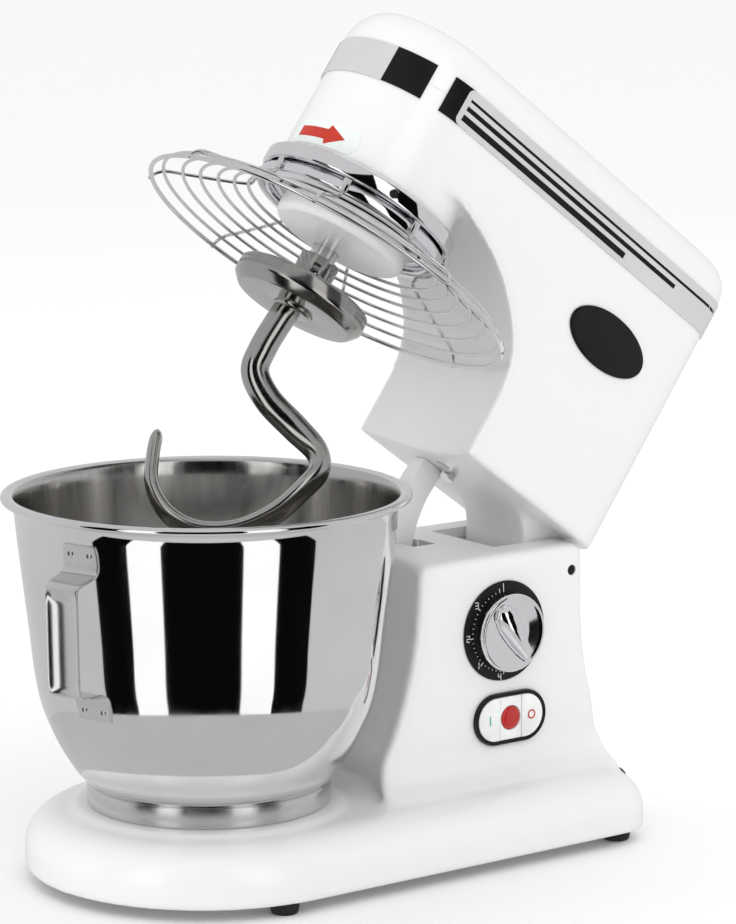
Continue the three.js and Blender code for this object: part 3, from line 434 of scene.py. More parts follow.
LOOK = {"white_enamel": enamel()}
for steel_look in (
    ("polished_steel", (0.80, 0.80, 0.81), 0.035, 0.075, (1, 1, 0.05), 90.0, 0.02),
    ("chrome", (0.86, 0.86, 0.88), 0.03, 0.07, (1, 1, 1), 40.0, 0.01),
    ("machined_steel", (0.52, 0.53, 0.54), 0.22, 0.38, (1, 1, 20), 60.0, 0.1),
    ("cast_aluminium", (0.55, 0.56, 0.57), 0.45, 0.62, (1, 1, 1), 320.0, 0.3),
    ("silver_foil", (0.74, 0.75, 0.76), 0.32, 0.42, (1, 1, 1), 400.0, 0.04, 0.35),
    ("satin_steel", (0.74, 0.74, 0.75), 0.17, 0.27, (1, 1, 0.08), 120.0, 0.04),
    ("dull_steel", (0.46, 0.45, 0.435), 0.10, 0.2, (1, 1, 1), 30.0, 0.03),
    ("brushed_steel", (0.60, 0.59, 0.575), 0.13, 0.24, (1, 1, 0.06), 140.0, 0.06),
    ("zinc_steel", (0.45, 0.46, 0.46), 0.35, 0.5, (1, 1, 1), 120.0, 0.1),
):
    LOOK[steel_look[0]] = steel(*steel_look)
for plastic_look in (
    ("black_plastic", (0.006, 0.006, 0.007), 0.28, 0.4, 0.06, 900.0, 0.05),
    ("black_gloss", (0.004, 0.004, 0.0045), 0.12, 0.2, 0.01),
    ("white_plastic", (0.80, 0.81, 0.80), 0.2, 0.3, 0.06, 900.0, 0.3),
    ("black_rubber", (0.018, 0.018, 0.018), 0.7, 0.85, 0.25, 500.0),
    ("red_plastic", (0.42, 0.010, 0.008), 0.18, 0.28, 0.06, 900.0, 0.4),
    ("circuit_green", (0.03, 0.16, 0.07), 0.35, 0.5),
    ("print_white", (0.82, 0.82, 0.80), 0.4, 0.5),
    ("print_black", (0.004, 0.004, 0.004), 0.35, 0.45),
    ("print_green", (0.10, 0.42, 0.30), 0.35, 0.45),
    ("print_red", (0.52, 0.022, 0.006), 0.35, 0.45),
    ("sticker_clear", (0.74, 0.79, 0.77), 0.35, 0.45),
):
    LOOK[plastic_look[0]] = plastic(*plastic_look)


def dress_cad_nodes():
    slots = {row["node"]: row["material_slot"] for row in frame["record"]["subparts"]}
    for name, obj in frame["nodes"].items():
        obj.data.materials.clear()
        obj.data.materials.append(LOOK[slots[name]])
        shaded(obj, 30)


# ---------------- base and column
def arc(cx, cy, radius, start, end, count):
    return [(cx + radius * math.cos(t), cy + radius * math.sin(t)) for t in np.linspace(start, end, count)]


def stadium_plan(half, rear, corner, nose=None, count=72):
    """A plan outline: a round front about the bowl axis, straight sides and round rear corners."""
    reach = half if nose is None else nose
    front = [(half * math.cos(t), reach * math.sin(t)) for t in np.linspace(math.pi, 2 * math.pi, count)]
    right = arc(half - corner, rear - corner, corner, 0, math.pi / 2, 13)
    left = arc(corner - half, rear - corner, corner, math.pi / 2, math.pi, 13)
    return front + right + left


def loft(name, levels):
    return skin(name, [[(x, y, z) for x, y in plan] for plan, z in levels])


def base_plate(inset, low, top, edge_top=22.0):
    half, rear, corner = BASE_HALF - inset, BASE_REAR - inset, 26
    levels = [(stadium_plan(half, rear, corner), low), (stadium_plan(half, rear, corner), edge_top)]
    for turn in np.linspace(0, math.pi / 2, 11)[1:]:
        shoulder = 28 * (1 - math.cos(turn))
        z = edge_top + (top - edge_top) * math.sin(turn)
        levels.append((stadium_plan(half - shoulder, rear - 0.5 * shoulder, corner), z))
    return loft("base_plate", levels)


# The column by height: half width, front as a radius about the bowl axis, and rear.
COLUMN = np.array([
    (12, 88, 116, 272), (45, 88, 114, 275), (49, 77, 111, 276.5), (55, 67, 109, 277), (66, 58.5, 110.5, 277),
    (84, 58.5, 118.6, 274.5), (105, 58.5, 125.5, 269), (125, 58.5, 130.5, 265.5), (148, 58.5, 134.5, 263.7),
    (187, 58.5, 137, 263.4),
])


COLUMN_EDGE = 187


def bent(start, middle, end):
    """Eight points after start on the curve from start to end that bends towards middle."""
    return [tuple((1 - t) ** 2 * start + 2 * t * (1 - t) * middle + t * t * end)
            for t in np.linspace(0, 1, 9)[1:]]


def column_plan(half, front, rear, front_corner, rear_corner):
    inner = half - front_corner
    reach = math.acos(inner / front)
    corner_y = math.sqrt(front ** 2 - half ** 2)
    points = arc(0, 0, front, math.pi - reach, reach, 31)
    corner = np.array((half, corner_y))
    right = bent(np.array(points[-1]), corner, np.array((half, corner_y + front_corner)))
    points += right
    points += arc(half - rear_corner, rear - rear_corner, rear_corner, 0, math.pi / 2, 10)
    points += arc(rear_corner - half, rear - rear_corner, rear_corner, math.pi / 2, math.pi, 10)
    points += [(-x, y) for x, y in reversed(right)]
    return points


def column(inset, low, high, crown):
    """The column between two heights, set in by inset; crown rounds the top edge."""
    heights = [*np.arange(low, high, 4.0), high]
    levels = []
    for z in heights:
        half, front, rear = (np.interp(z, COLUMN[:, 0], COLUMN[:, i]) for i in (1, 2, 3))
        corner = max(8 - inset, 3)
        plan = column_plan(half - inset, front + inset, rear - inset, corner, max(9 - inset, 4))
        levels.append((plan, z))
    if crown:
        half, front, rear = COLUMN[-1, 1:]
        for turn in np.linspace(0, math.pi / 2, 7)[1:]:
            back = crown * (1 - math.cos(turn))
            plan = column_plan(half - back, front + back, rear - back, 8, 9)
            levels.append((plan, high + crown * math.sin(turn)))
    return loft("column", levels)


def base_shell():
    """Base and column in one casting, hollow, with its openings and bores."""
    seat = lathe("seat", [(0, 40), (94, 44.5), (88, 47.5), (84, SEAT_Z - 0.3), (0, SEAT_Z - 0.3)])
    stand = column(0, 14, COLUMN_EDGE, COLUMN_TOP - COLUMN_EDGE)
    outer = joined("base_shell", [base_plate(0, 8, 46), stand, seat])
    remeshed(outer, BASE_VOXEL, 16)
    hollow_plate = base_plate(6, 2, 40)
    hollow_column = column(5, 20, COLUMN_EDGE - 1, 0)
    hinge = extruded_x("hinge_block", [(201, 150), (253, 150), (253, 185.5), (201, 185.5)], -54, 54)
    boolean(hollow_column, [hinge])
    notch = box("notch", (-34, 205, 158), (34, 300, 230))
    slot = box("slot", (-28, 147, 175), (-12, 179, 230))
    pocket = box("pocket", (-16, 163, 180), (2, 181, 230))
    window = extruded_x("window", switch_outline(FRAME_INSET, 24), 45, 70)
    bores = [
        bar_x("pin_bore", PIN_BORE, -53.5, 53.5, HINGE.y, HINGE.z),
        bar_x("screw_bore", 3.6, -70, 70, HINGE.y, HINGE.z),
        bar_x("dial_bore", 4.6, 45, 70, DIAL.y, DIAL.z), bar_x("knob_bore", 4.4, -70, -45, 163, 160),
    ]
    boolean(outer, [hollow_plate, hollow_column, notch, slot, pocket, window, *bores, gland_bore()])
    shaded(outer, 32)
    return finished(outer, BODY, "root", "white_enamel", ["base_casting"])


def gland_bore():
    centre = shop(middle_of("cable_gland"))
    radius = 8.6
    ring = [(centre.x + radius * math.cos(t), centre.z + radius * math.sin(t)) for t in full_turn(40)]
    return skin("gland_bore", [[(x, 255, z) for x, z in ring], [(x, 300, z) for x, z in ring]])


# The switch frame's opening and the keys in it are this much smaller than the frame.
FRAME_INSET = 4.8
KEY_INSET = 5.6


def switch_outline(inset, count=32):
    """The switch's long round-ended outline, made smaller all round, as (y, z) points."""
    radius = (SWITCH_HEIGHT - inset) / 2
    reach = (SWITCH_WIDTH - inset) / 2 - radius
    return (arc(SWITCH.y + reach, SWITCH.z, radius, -math.pi / 2, math.pi / 2, count)
            + arc(SWITCH.y - reach, SWITCH.z, radius, math.pi / 2, 3 * math.pi / 2, count))


def feet():
    for name in [n for n in frame["nodes"] if n.startswith("foot_")]:
        centre = shop(middle_of(name))
        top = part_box(name)[1].z / MM
        profile = softened([(0, 0), (7.4, 0), (8.6, 1), (9.8, top), (0, top)], 0.8)
        foot = shaded(lathe("rubber_" + name, profile, 64, centre.x, centre.y))
        finished(foot, BODY, "root", "black_rubber", [name])


# ---------------- bowl
# The bowl's outside, as (radius, height).
BOWL_SKIN = [
    (60, 56), (66, 57), (72, 59.3), (78, 63.5), (84, 70), (89.5, 78), (94, 85.5), (98.3, 94), (102, 102.5),
    (105.2, 111), (107.8, 121), (109.6, 131), (111, 141), (113.2, 162), (116.5, 190), (119.6, 217),
    (122, 241.6),
]


def bowl():
    path = [tuple(p) for p in catmull(BOWL_SKIN, 4)]
    inner = [(r - 1.4, z + 0.9) for r, z in path][::-1]
    wide, tall = 3.6, 2.4
    rim = [(RIM_RADIUS - wide + wide * math.cos(t), RIM_Z - tall + tall * math.sin(t))
           for t in np.linspace(-2.3, 1.75, 20)]
    rim += [(123.6, RIM_Z - 0.3), (122.4, RIM_Z - 1.2), (121.5, RIM_Z - 3)]
    profile = [(0, 56)] + path + rim + inner + [(0, 57.4)]
    shell = shaded(lathe("bowl_wall", profile, 192), 50)
    finished(shell, BODY, "bowl", "polished_steel", ["bowl_shell"])
    shell.data.materials.append(LOOK["brushed_steel"])
    for face in shell.data.polygons:
        away = Vector((face.center.x - AXIS_X, face.center.y - AXIS_Y, 0)).normalized()
        low = face.center.z / MM < RIM_Z - 1.2
        if low and (away.dot(face.normal) < -0.3 or face.normal.z > 0.5):
            face.material_index = 1
    ring_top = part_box("bowl_foot_ring")[1].z / MM
    ring = softened([(76.2, SEAT_Z), (78, SEAT_Z), (78, ring_top - 1), (77, ring_top), (76.2, ring_top)], 0.4)
    foot = shaded(lathe("bowl_foot", ring, 160), 40)
    finished(foot, BODY, "bowl", "polished_steel", ["bowl_foot_ring"], "satin_steel")
    handle()


def unit(value):
    """The value held between 0 and 1."""
    return min(max(value, 0), 1)


def strap_frame():
    turn = math.radians(17)
    out = Vector((math.sin(turn), -math.cos(turn), 0))
    side = Vector((math.cos(turn), math.sin(turn), 0))
    return out, side


def handle():
    """Bent strap: tab, outward bend, troughed grip, lower tab, with four spot welds."""
    out, side = strap_frame()
    route = [
        (123.2, 233), (122.4, 226), (121.8, 219.5), (124, 215.5), (129, 213.8), (135, 212.4), (139.2, 210),
        (140.6, 205.5), (140.5, 195), (140.2, 178), (139.8, 158), (139.2, 146), (136.5, 141.2),
        (130.5, 139.8), (121, 139), (115, 137.5), (112.6, 133), (110.2, 121),
    ]
    path = catmull([(r, z, 0) for r, z in route], 5)
    count = len(path)
    rings = []
    thick, trough, half_width, waist = 1.8, 4.2, 14, 1.6
    for i, here in enumerate(path):
        t = i / (count - 1)
        step = path[min(i + 1, count - 1)] - path[max(i - 1, 0)]
        normal = np.array((-step[1], step[0], 0)) / np.linalg.norm(step)
        if normal[0] < 0 or (abs(normal[0]) < 1e-3 and normal[1] < 0):
            normal = -normal
        grip = unit((t - 0.40) / 0.05) * unit((0.70 - t) / 0.05)
        half = half_width - waist * unit((t - 0.2) / 0.15) * unit((0.85 - t) / 0.12)
        end = 0.9 + 0.1 * min(t, 1 - t, 0.04) / 0.04
        outer, inner = [], []
        for u in np.linspace(-1, 1, 17):
            dip = grip * trough * (1 - abs(u) ** 2.2)
            place = here - normal * dip
            outer.append((place, u * half * end))
            inner.append((place - normal * thick, u * half * end))
        ring = []
        for place, reach in outer + inner[::-1]:
            point = out * float(place[0]) + side * float(reach) + Vector((0, 0, float(place[1])))
            ring.append(tuple(point))
        rings.append(ring)
    strap = skin("strap", rings)
    clear = [(r + 0.15, z) for r, z in BOWL_SKIN]
    room = lathe("room", [(0, 40), (40, 40), *clear, (124, 262), (0, 262)], 128)
    boolean(strap, [room])
    rounded(strap, 0.35, 2, 50)
    spots = []
    for r, z in ((122.7, 227), (111.5, 127.5)):
        for reach in (-7.5, 7.5):
            centre = out * (r + 0.1) + side * reach + Vector((0, 0, z))
            spots.append(spot_weld(centre, out))
    whole = joined("bowl_strap_handle", [strap, *spots])
    strap = finished(shaded(whole, 40), BODY, "bowl", "polished_steel", ["bowl_handle"], "satin_steel")
    strap.visible_glossy = False


def spot_weld(centre, out):
    """A shallow domed weld mark."""
    profile = [(0, -0.6), (2.2, -0.6), (2.2, 0.1), (1.7, 0.45), (0.9, 0.25), (0, 0.2)]
    dot = lathe("dot", profile, 20)
    dot.data.transform(Matrix.Translation(centre) @ out.to_track_quat("Z", "Y").to_matrix().to_4x4())
    return dot


# ---------------- head
def crown_levels(inset, low):
    """Plans of the head from low to the crown; the nose is rounded more than the sides."""
    top = HEAD_TOP - inset
    crown = 24.0
    half, rear = HEAD_HALF - inset, HEAD_REAR - inset
    corner = max(22 - inset, 6)
    levels = [(stadium_plan(half, rear, corner), low), (stadium_plan(half, rear, corner), top - crown - 10)]
    for turn in np.linspace(0, math.pi / 2, 15):
        back = crown * (1 - math.cos(turn))
        nose = half - 15 * (1 - math.cos(turn))
        z = top - crown + crown * math.sin(turn)
        levels.append((stadium_plan(half - back, rear - back, max(corner - 0.4 * back, 4), nose), z))
    return levels


# The hollow that the head leaves round the bowl when it is closed, as (radius, height).
THROAT = [(141, 232), (140.4, 245), (137.5, 259), (133.5, 269), (128, 277), (121.5, 285), (114, 292),
          (107, 298.5), (99, 304.5), (91.5, 309.2), (84, 313), (76, 317), (68, 320.8), (60, 324)]
HEAD_WALL = 4.5


def throat(outset):
    points = [(r + outset, z + outset) for r, z in THROAT]
    return lathe("throat", [(0, 150), (141 + outset, 150), *points, (0, 326 + outset)], 160)


def disc(name, radius, low, high, segments=128, x=0.0, y=0.0):
    return lathe(name, [(0, low), (radius, low), (radius, high), (0, high)], segments, x, y)


def hinge_arm():
    front = [(201, NECK_BOTTOM + 6), (202.5, NECK_BOTTOM + 0.2), (211, 192), (218, 187.5), (224, 180.5),
             (229, 172), (236, 165.5)]
    bottom = arc(HINGE.y, HINGE.z, 12.6, math.radians(232), math.radians(370), 16)
    rear = [(HEAD_REAR - 3, NECK_BOTTOM), (HEAD_REAR - 4, NECK_BOTTOM + 6)]
    smooth = [tuple(p) for p in catmull(front, 4)]
    return extruded_x("arm", smooth + bottom + rear, -32, 32)


def head_shells():
    """Head casting and its cover, cut from one skin at the parting line behind the bands."""
    outer = boolean(loft("outer", crown_levels(0, NECK_BOTTOM)), [throat(0)])
    whole = joined("whole", [outer, disc("nose", HEAD_HALF, NOSE_BOTTOM, 332), hinge_arm()])
    remeshed(whole, HEAD_VOXEL, 14)
    hollow = boolean(loft("hollow", crown_levels(HEAD_WALL, NECK_BOTTOM + 5)), [throat(HEAD_WALL)])
    boolean(whole, [hollow, disc("nose_room", HEAD_HALF - HEAD_WALL, NOSE_BOTTOM + 5.5, 345)])
    lid = whole.copy()
    lid.data = whole.data.copy()
    link(lid)
    whole.name, lid.name = "head_shell", "head_lid"
    bores = [
        bar_x("pin_bore", PIN_BORE, -70, 70, HINGE.y, HINGE.z), disc("shaft_bore", 11, 295, 320, 48),
        disc("wire_bore", 5, 185, 215, 32, 0, 160),
    ]
    boolean(whole, [box("upper", (-90, -90, HEAD_PARTING - 0.06), (90, 300, 460)), *bores])
    boolean(lid, [box("lower", (-90, -90, 100), (90, 300, HEAD_PARTING + 0.06))])
    finished(shaded(whole, 32), HEAD, "head", "white_enamel", ["head_casting"])
    finished(shaded(lid, 32), HEAD, "head", "white_enamel", ["head_cover"])


def around_head(s, z, lift, side=1):
    """A point on the head's wall, s mm round the plan from the nose's tip, lift mm proud of it."""
    quarter = HEAD_HALF * math.pi / 2
    corner = 22.0
    straight = HEAD_REAR - corner
    if s < quarter:
        turn = s / HEAD_HALF
        x, y = (HEAD_HALF + lift) * math.sin(turn), -(HEAD_HALF + lift) * math.cos(turn)
    elif s < quarter + straight:
        x, y = HEAD_HALF + lift, s - quarter
    else:
        turn = (s - quarter - straight) / corner
        x = HEAD_HALF - corner + (corner + lift) * math.cos(turn)
        y = straight + (corner + lift) * math.sin(turn)
    return (side * x, y, z)


def wrapped(name, columns, inner, outer, side=1):
    """A thin sheet on the head's wall; columns is a list of (s, low z, high z)."""
    rings = []
    for s, low, high in columns:
        rings.append([around_head(s, low, inner, side), around_head(s, high, inner, side),
                      around_head(s, high, outer, side), around_head(s, low, outer, side)])
    return skin(name, rings)


def strip_columns(start, end, low, high, step, round_start=0.0, round_end=0.0):
    marks = list(np.linspace(start, end, max(int((end - start) / step), 2) + 1))
    for radius, edge, way in ((round_start, start, 1), (round_end, end, -1)):
        marks += [edge + way * radius * f for f in (0.02, 0.08, 0.2, 0.4, 0.7, 1.0) if radius]
    columns = []
    for s in sorted(set(marks)):
        cut = 0.0
        for radius, reach in ((round_start, s - start), (round_end, end - s)):
            if radius and reach < radius:
                cut = max(cut, radius - math.sqrt(max(radius ** 2 - (radius - reach) ** 2, 0)))
        columns.append((s, low + cut, high - cut))
    return columns


def bands():
    """Foil band with printed stripes down each side, black tips, and the foil round the nose."""
    quarter = HEAD_HALF * math.pi / 2
    for side, word in ((1, "right"), (-1, "left")):
        strip = strip_columns(quarter - 8, quarter + 267, BAND_LOW, BAND_HIGH, 6, 4, 0)
        foil = wrapped("foil_band_" + word, strip, 0.05, 1.0, side)
        finished(shaded(foil, 40), HEAD, "head", "silver_foil", ["side_band_" + word])
        stripes = []
        for low, high, reach in ((3.6, 7.8, 163), (10.8, 13.8, 213), (17, 18.8, 256)):
            stripe = strip_columns(quarter - 4, quarter + reach, BAND_LOW + low, BAND_LOW + high, 6)
            stripes.append(wrapped("stripe", stripe, 0.9, 1.12, side))
        finished(joined("band_stripes_" + word, stripes), HEAD, "head", "black_plastic", look="print_black")
        tip = strip_columns(quarter - 20.5, quarter - 4, BAND_LOW, BAND_HIGH, 2)
        tip = shaded(wrapped("black_tip_" + word, tip, 0.05, 0.9, side), 40)
        finished(tip, HEAD, "head", "black_plastic", ["band_tip_" + word])
    nose_end = HEAD_HALF * math.acos(32.3 / HEAD_HALF)
    strip = strip_columns(-nose_end, nose_end, BAND_LOW, BAND_HIGH, 2)
    nose = wrapped("nose_foil", strip, 0.05, 0.9)
    finished(shaded(nose, 40), HEAD, "head", "silver_foil", ["nose_band"])
    for side, word in ((1, "right"), (-1, "left")):
        end = strip_columns(nose_end - 28, nose_end, BAND_LOW, BAND_HIGH, 2)
        end = wrapped("nose_foil_end_" + word, end, 0.8, 1.05, side)
        finished(end, HEAD, "head", "black_plastic", look="print_black")


def badges():
    """Plain glossy oval badges with no mark."""
    for side, word in ((1, "right"), (-1, "left")):
        centre = head_place(middle_of("badge_" + word))
        half_long, half_tall = 36.6, 18.2
        rings = []
        for scale, lift in ((1.0, 0.0), (1.0, 0.8), (0.985, 1.2), (0.965, 1.35), (0.95, 1.4)):
            x = side * (HEAD_HALF + 0.25 + lift)
            rings.append([(x, centre.y + half_long * scale * math.cos(t),
                           centre.z + half_tall * scale * math.sin(t)) for t in full_turn(96)])
        plate = shaded(skin("badge_face_" + word, rings), 30)
        finished(plate, HEAD, "head", "black_plastic", ["badge_" + word], "black_gloss")


def arrow():
    """Turning-direction arrow on a clear sticker at the foot of the nose."""
    middle = math.radians(14) * HEAD_HALF
    low = NOSE_BOTTOM + 3
    backing = strip_columns(middle - 30, middle + 26, low, low + 17, 2, 7, 7)
    sheet = wrapped("arrow_backing", backing, 0.03, 0.16)
    finished(shaded(sheet, 40), HEAD, "head", "white_plastic", look="sticker_clear")
    columns = []
    centre = low + 8.5
    for s in np.linspace(-24, 16, 28):
        half = 3.6 if s < 2 else 7.2 * (16 - s) / 14 + 0.05
        columns.append((middle + s, centre - half, centre + half))
    shape = wrapped("arrow_print", columns, 0.12, 0.24)
    finished(shaded(shape, 40), HEAD, "head", "red_plastic", look="print_red")


# ---------------- planetary, guard and hook
def planetary():
    """Chrome collar, the guard's hoop under it, and the hub."""
    collar = softened([(51, 303.7), (51, 285.5), (56, 285.5), (56, 292), (66, 292), (67.5, 293.5),
                       (67.5, 302), (65.5, 303.7)], 1.0)
    ring = lathe("nose_collar", collar, 160)
    pockets = []
    for i in range(3):
        turn = math.radians(-20 + 120 * i)
        pockets.append(along_x(disc("pocket", 3.2, 61.9, 76, 24), (0, 0, 297.5), turn))
    boolean(ring, pockets)
    finished(shaded(ring, 40), HEAD, "head", "chrome", ["head_collar"])
    hoop = softened([(56.5, 281.5), (65, 281.5), (66.5, 283), (66.5, 288), (64.5, 290.5), (56.5, 290.5)], 0.9)
    hoop = shaded(lathe("guard_hoop", hoop, 160), 40)
    finished(hoop, HEAD, "guard", "chrome", ["guard_ring"])
    hub = lathe("hub_drum", softened([(0, 268), (42, 268), (45, 271), (45, 283), (0, 283)], 3.0, 6), 128)
    boolean(hub, [disc("a", 10.3, 271, 290, 48), disc("b", 9.3, 260, 290, 48, PLANET.x, PLANET.y)])
    finished(shaded(hub, 30), HEAD, "carrier", "white_enamel", ["planet_carrier"])


# The guard's wire rings, as (radius, height); the last is the rim and is thicker.
GUARD = [(68.3, 276), (77, 273.2), (87, 269.8), (98, 266.3), (109, 262.8), (121, 259), (127, 253)]
WIRE = 1.15
RIM_WIRE = 1.5


def wire_ring(radius, z, wire):
    return lathe("ring", [(radius + wire * math.cos(t), z + wire * math.sin(t)) for t in full_turn(12)], 160)


def guard():
    """Seven wire rings on eight spokes, each clipped to the hoop."""
    wires = [wire_ring(radius, z, WIRE) for radius, z in GUARD[:-1]]
    wires.append(wire_ring(*GUARD[-1], RIM_WIRE))
    drop = 1.9
    for i in range(8):
        turn = 2 * math.pi * i / 8
        points = [(67.9, 290), (67.9, 283), (68.2, 279)] + [(r, z + drop) for r, z in GUARD[1:-1]]
        points += [(126.6, 256), (128.4, 251.5)]
        route = [(r * math.cos(turn), r * math.sin(turn), z) for r, z in points]
        sideways = (-math.sin(turn), math.cos(turn), 0)
        wires.append(sweep("spoke", catmull(route, 6), lambda t: (WIRE, WIRE), 12, sideways))
        clip = box("clip", (66.3, -2.6, 282.5), (68.6, 2.6, 291.3))
        clip.data.transform(Matrix.Rotation(turn, 4, "Z"))
        wires.append(rounded(clip, 0.5, 2))
    whole = joined("guard_wires", wires)
    finished(shaded(whole, 50), HEAD, "guard", "polished_steel", ["wire_guard"])


# The hook's path down from its sleeve, as (reach, fall, sideways), in a plane turned about the shaft.
HOOK_TURN = math.radians(51.5)
HOOK = [
    (-3, 6, 0), (-4.5, 24, 0), (-5, 44, 0), (-2, 60, 0), (14, 72, 0), (38, 80, 0), (57, 87, 2), (65, 98, 5),
    (62, 114, 8), (54, 136, 8), (38, 157, 7), (16, 169, 4), (-6, 168.5, 1), (-24, 157, -2), (-33, 140, -4),
    (-39, 122, -6),
]


def smoothstep(value, low, high):
    t = unit((value - low) / (high - low))
    return t * t * (3 - 2 * t)


def hook_section(t):
    """Half thickness and half width of the bar: round at the top, flattened, then tapered to its tip."""
    flat = smoothstep(t, 0.30, 0.5)
    tip = math.sqrt(max(1 - max((t - 0.972) / 0.028, 0) ** 2, 0.04))
    taper = (1 - 0.25 * smoothstep(t, 0.70, 0.95)) * tip
    return (9.2 - 3.4 * flat) * taper, (9.2 + 1.8 * flat) * taper


def hook():
    """Dough hook with its slotted sleeve and splash disc, and the shaft that they hang on."""
    points = []
    for reach, fall, off in HOOK:
        points.append((PLANET.x + reach * math.cos(HOOK_TURN) + off * math.sin(HOOK_TURN),
                       PLANET.y + reach * math.sin(HOOK_TURN) - off * math.cos(HOOK_TURN), 235 - fall))
    side = (math.sin(HOOK_TURN), -math.cos(HOOK_TURN), 0)
    bar = sweep("bar", catmull(points, 10), hook_section, 28, side)
    sleeve_top = 260.5
    profile = softened([(0, 221), (12, 221), (13.5, 222.5), (13.5, sleeve_top), (9.3, sleeve_top),
                        (9.3, 236), (0, 236)], 0.7)
    sleeve = lathe("sleeve", profile, 96, PLANET.x, PLANET.y)
    pin_turn = math.radians(-35)
    slots = []
    for turn, low, high in ((0, 243, 254.8), (0.3, 243, 248.6), (0.6, 243, 270)):
        slot = box("slot", (-20, -2.8, low), (20, 2.8, high))
        turned = Matrix.Rotation(pin_turn + turn, 4, "Z")
        slot.data.transform(Matrix.Translation((PLANET.x, PLANET.y, 0)) @ turned)
        slots.append(slot)
    boolean(sleeve, slots)
    boolean(bar, [sleeve], "UNION")
    bar.name = "hook_bar"
    finished(shaded(bar, 35), HEAD, "hook", "polished_steel", ["dough_hook"], "dull_steel")
    shield = softened([(13.7, 223), (40.5, 223), (42, 224.5), (46, 229), (46, 238.5), (44.6, 240),
                       (42.5, 240), (38, 236.3), (13.7, 236.3)], 0.9)
    plate = lathe("shield_disc", shield, 128, PLANET.x, PLANET.y)
    finished(shaded(plate, 30), HEAD, "hook", "polished_steel", ["splash_shield"], "dull_steel")
    steps = softened([(0, 243), (9, 243), (9, 284.5), (8, 284.5), (8, 302), (0, 302)], 0.6)
    shaft = lathe("drive_shaft", steps, 64, PLANET.x, PLANET.y)
    hole = along_x(disc("hole", 2.7, -20, 20, 24), (PLANET.x, PLANET.y, 252), pin_turn)
    boolean(shaft, [hole])
    finished(shaded(shaft, 30), HEAD, "agitator", "chrome", ["agitator_shaft"])


# ---------------- dial and switch
def dial():
    """Black scale ring with ticks and digits, and a chrome knob with a raised pointer grip."""
    profile = softened([(4.6, 0), (33.3, 0), (33.3, 1.1), (32.5, 1.7), (25.4, 1.7), (24.6, 1.2),
                        (4.6, 1.2)], 0.3)
    face = along_x(lathe("dial_ring", profile, 128), (COLUMN_HALF + PLATE_GAP, DIAL.y, DIAL.z))
    finished(shaded(face, 30), BODY, "root", "black_plastic", ["dial_plate"])
    marks = []
    lift = COLUMN_HALF + PLATE_GAP + 1.62
    for i in range(25):
        outer, width = (29.0, 0.55) if i % 6 == 0 else (27.4, 0.35)
        marks.append(mark_bar(math.radians(100 + i * 7.0), 26.2, outer, width, lift))
    marks.append(mark_bar(math.radians(93), 26.0, 32.0, 0.5, lift))
    for digit, turn in (("1", 222), ("2", 183), ("3", 140), ("4", 262)):
        marks.append(digit_mark(digit, math.radians(turn), 30.6, 3.9, lift))
    finished(joined("dial_scale", marks), BODY, "root", "white_plastic", look="print_white")
    knob()


PRINT_THICK = 0.16


def mark_bar(turn, inner, outer, width, x):
    along = Vector((0, math.cos(turn), math.sin(turn)))
    across = Vector((0, -math.sin(turn), math.cos(turn)))
    centre = Vector((0, DIAL.y, DIAL.z))
    rings = []
    for depth in (x, x + PRINT_THICK):
        ring = []
        for reach, off in ((inner, -width), (outer, -width), (outer, width), (inner, width)):
            point = centre + along * reach + across * off * 0.5
            ring.append((depth, point.y, point.z))
        rings.append(ring)
    return skin("mark", rings)


# Each digit's bars, named as on a seven-segment display.
SEGMENTS = {"1": "bc", "2": "abged", "3": "abgcd", "4": "fgbc"}


def digit_mark(digit, turn, radius, height, x):
    """A digit built from bars, upright on the dial."""
    half, tall, grow = height * 0.28, height / 2, 0.25
    places = {
        "a": (-half, tall, half, tall), "b": (half, 0, half, tall), "c": (half, -tall, half, 0),
        "d": (-half, -tall, half, -tall), "e": (-half, -tall, -half, 0), "f": (-half, 0, -half, tall),
        "g": (-half, 0, half, 0),
    }
    cy, cz = DIAL.y + radius * math.cos(turn), DIAL.z + radius * math.sin(turn)
    bars = []
    for segment in SEGMENTS[digit]:
        y0, z0, y1, z1 = places[segment]
        bars.append(box("bar", (x, cy + min(y0, y1) - grow, cz + min(z0, z1) - grow),
                        (x + PRINT_THICK, cy + max(y0, y1) + grow, cz + max(z0, z1) + grow)))
    return joined("digit", bars)


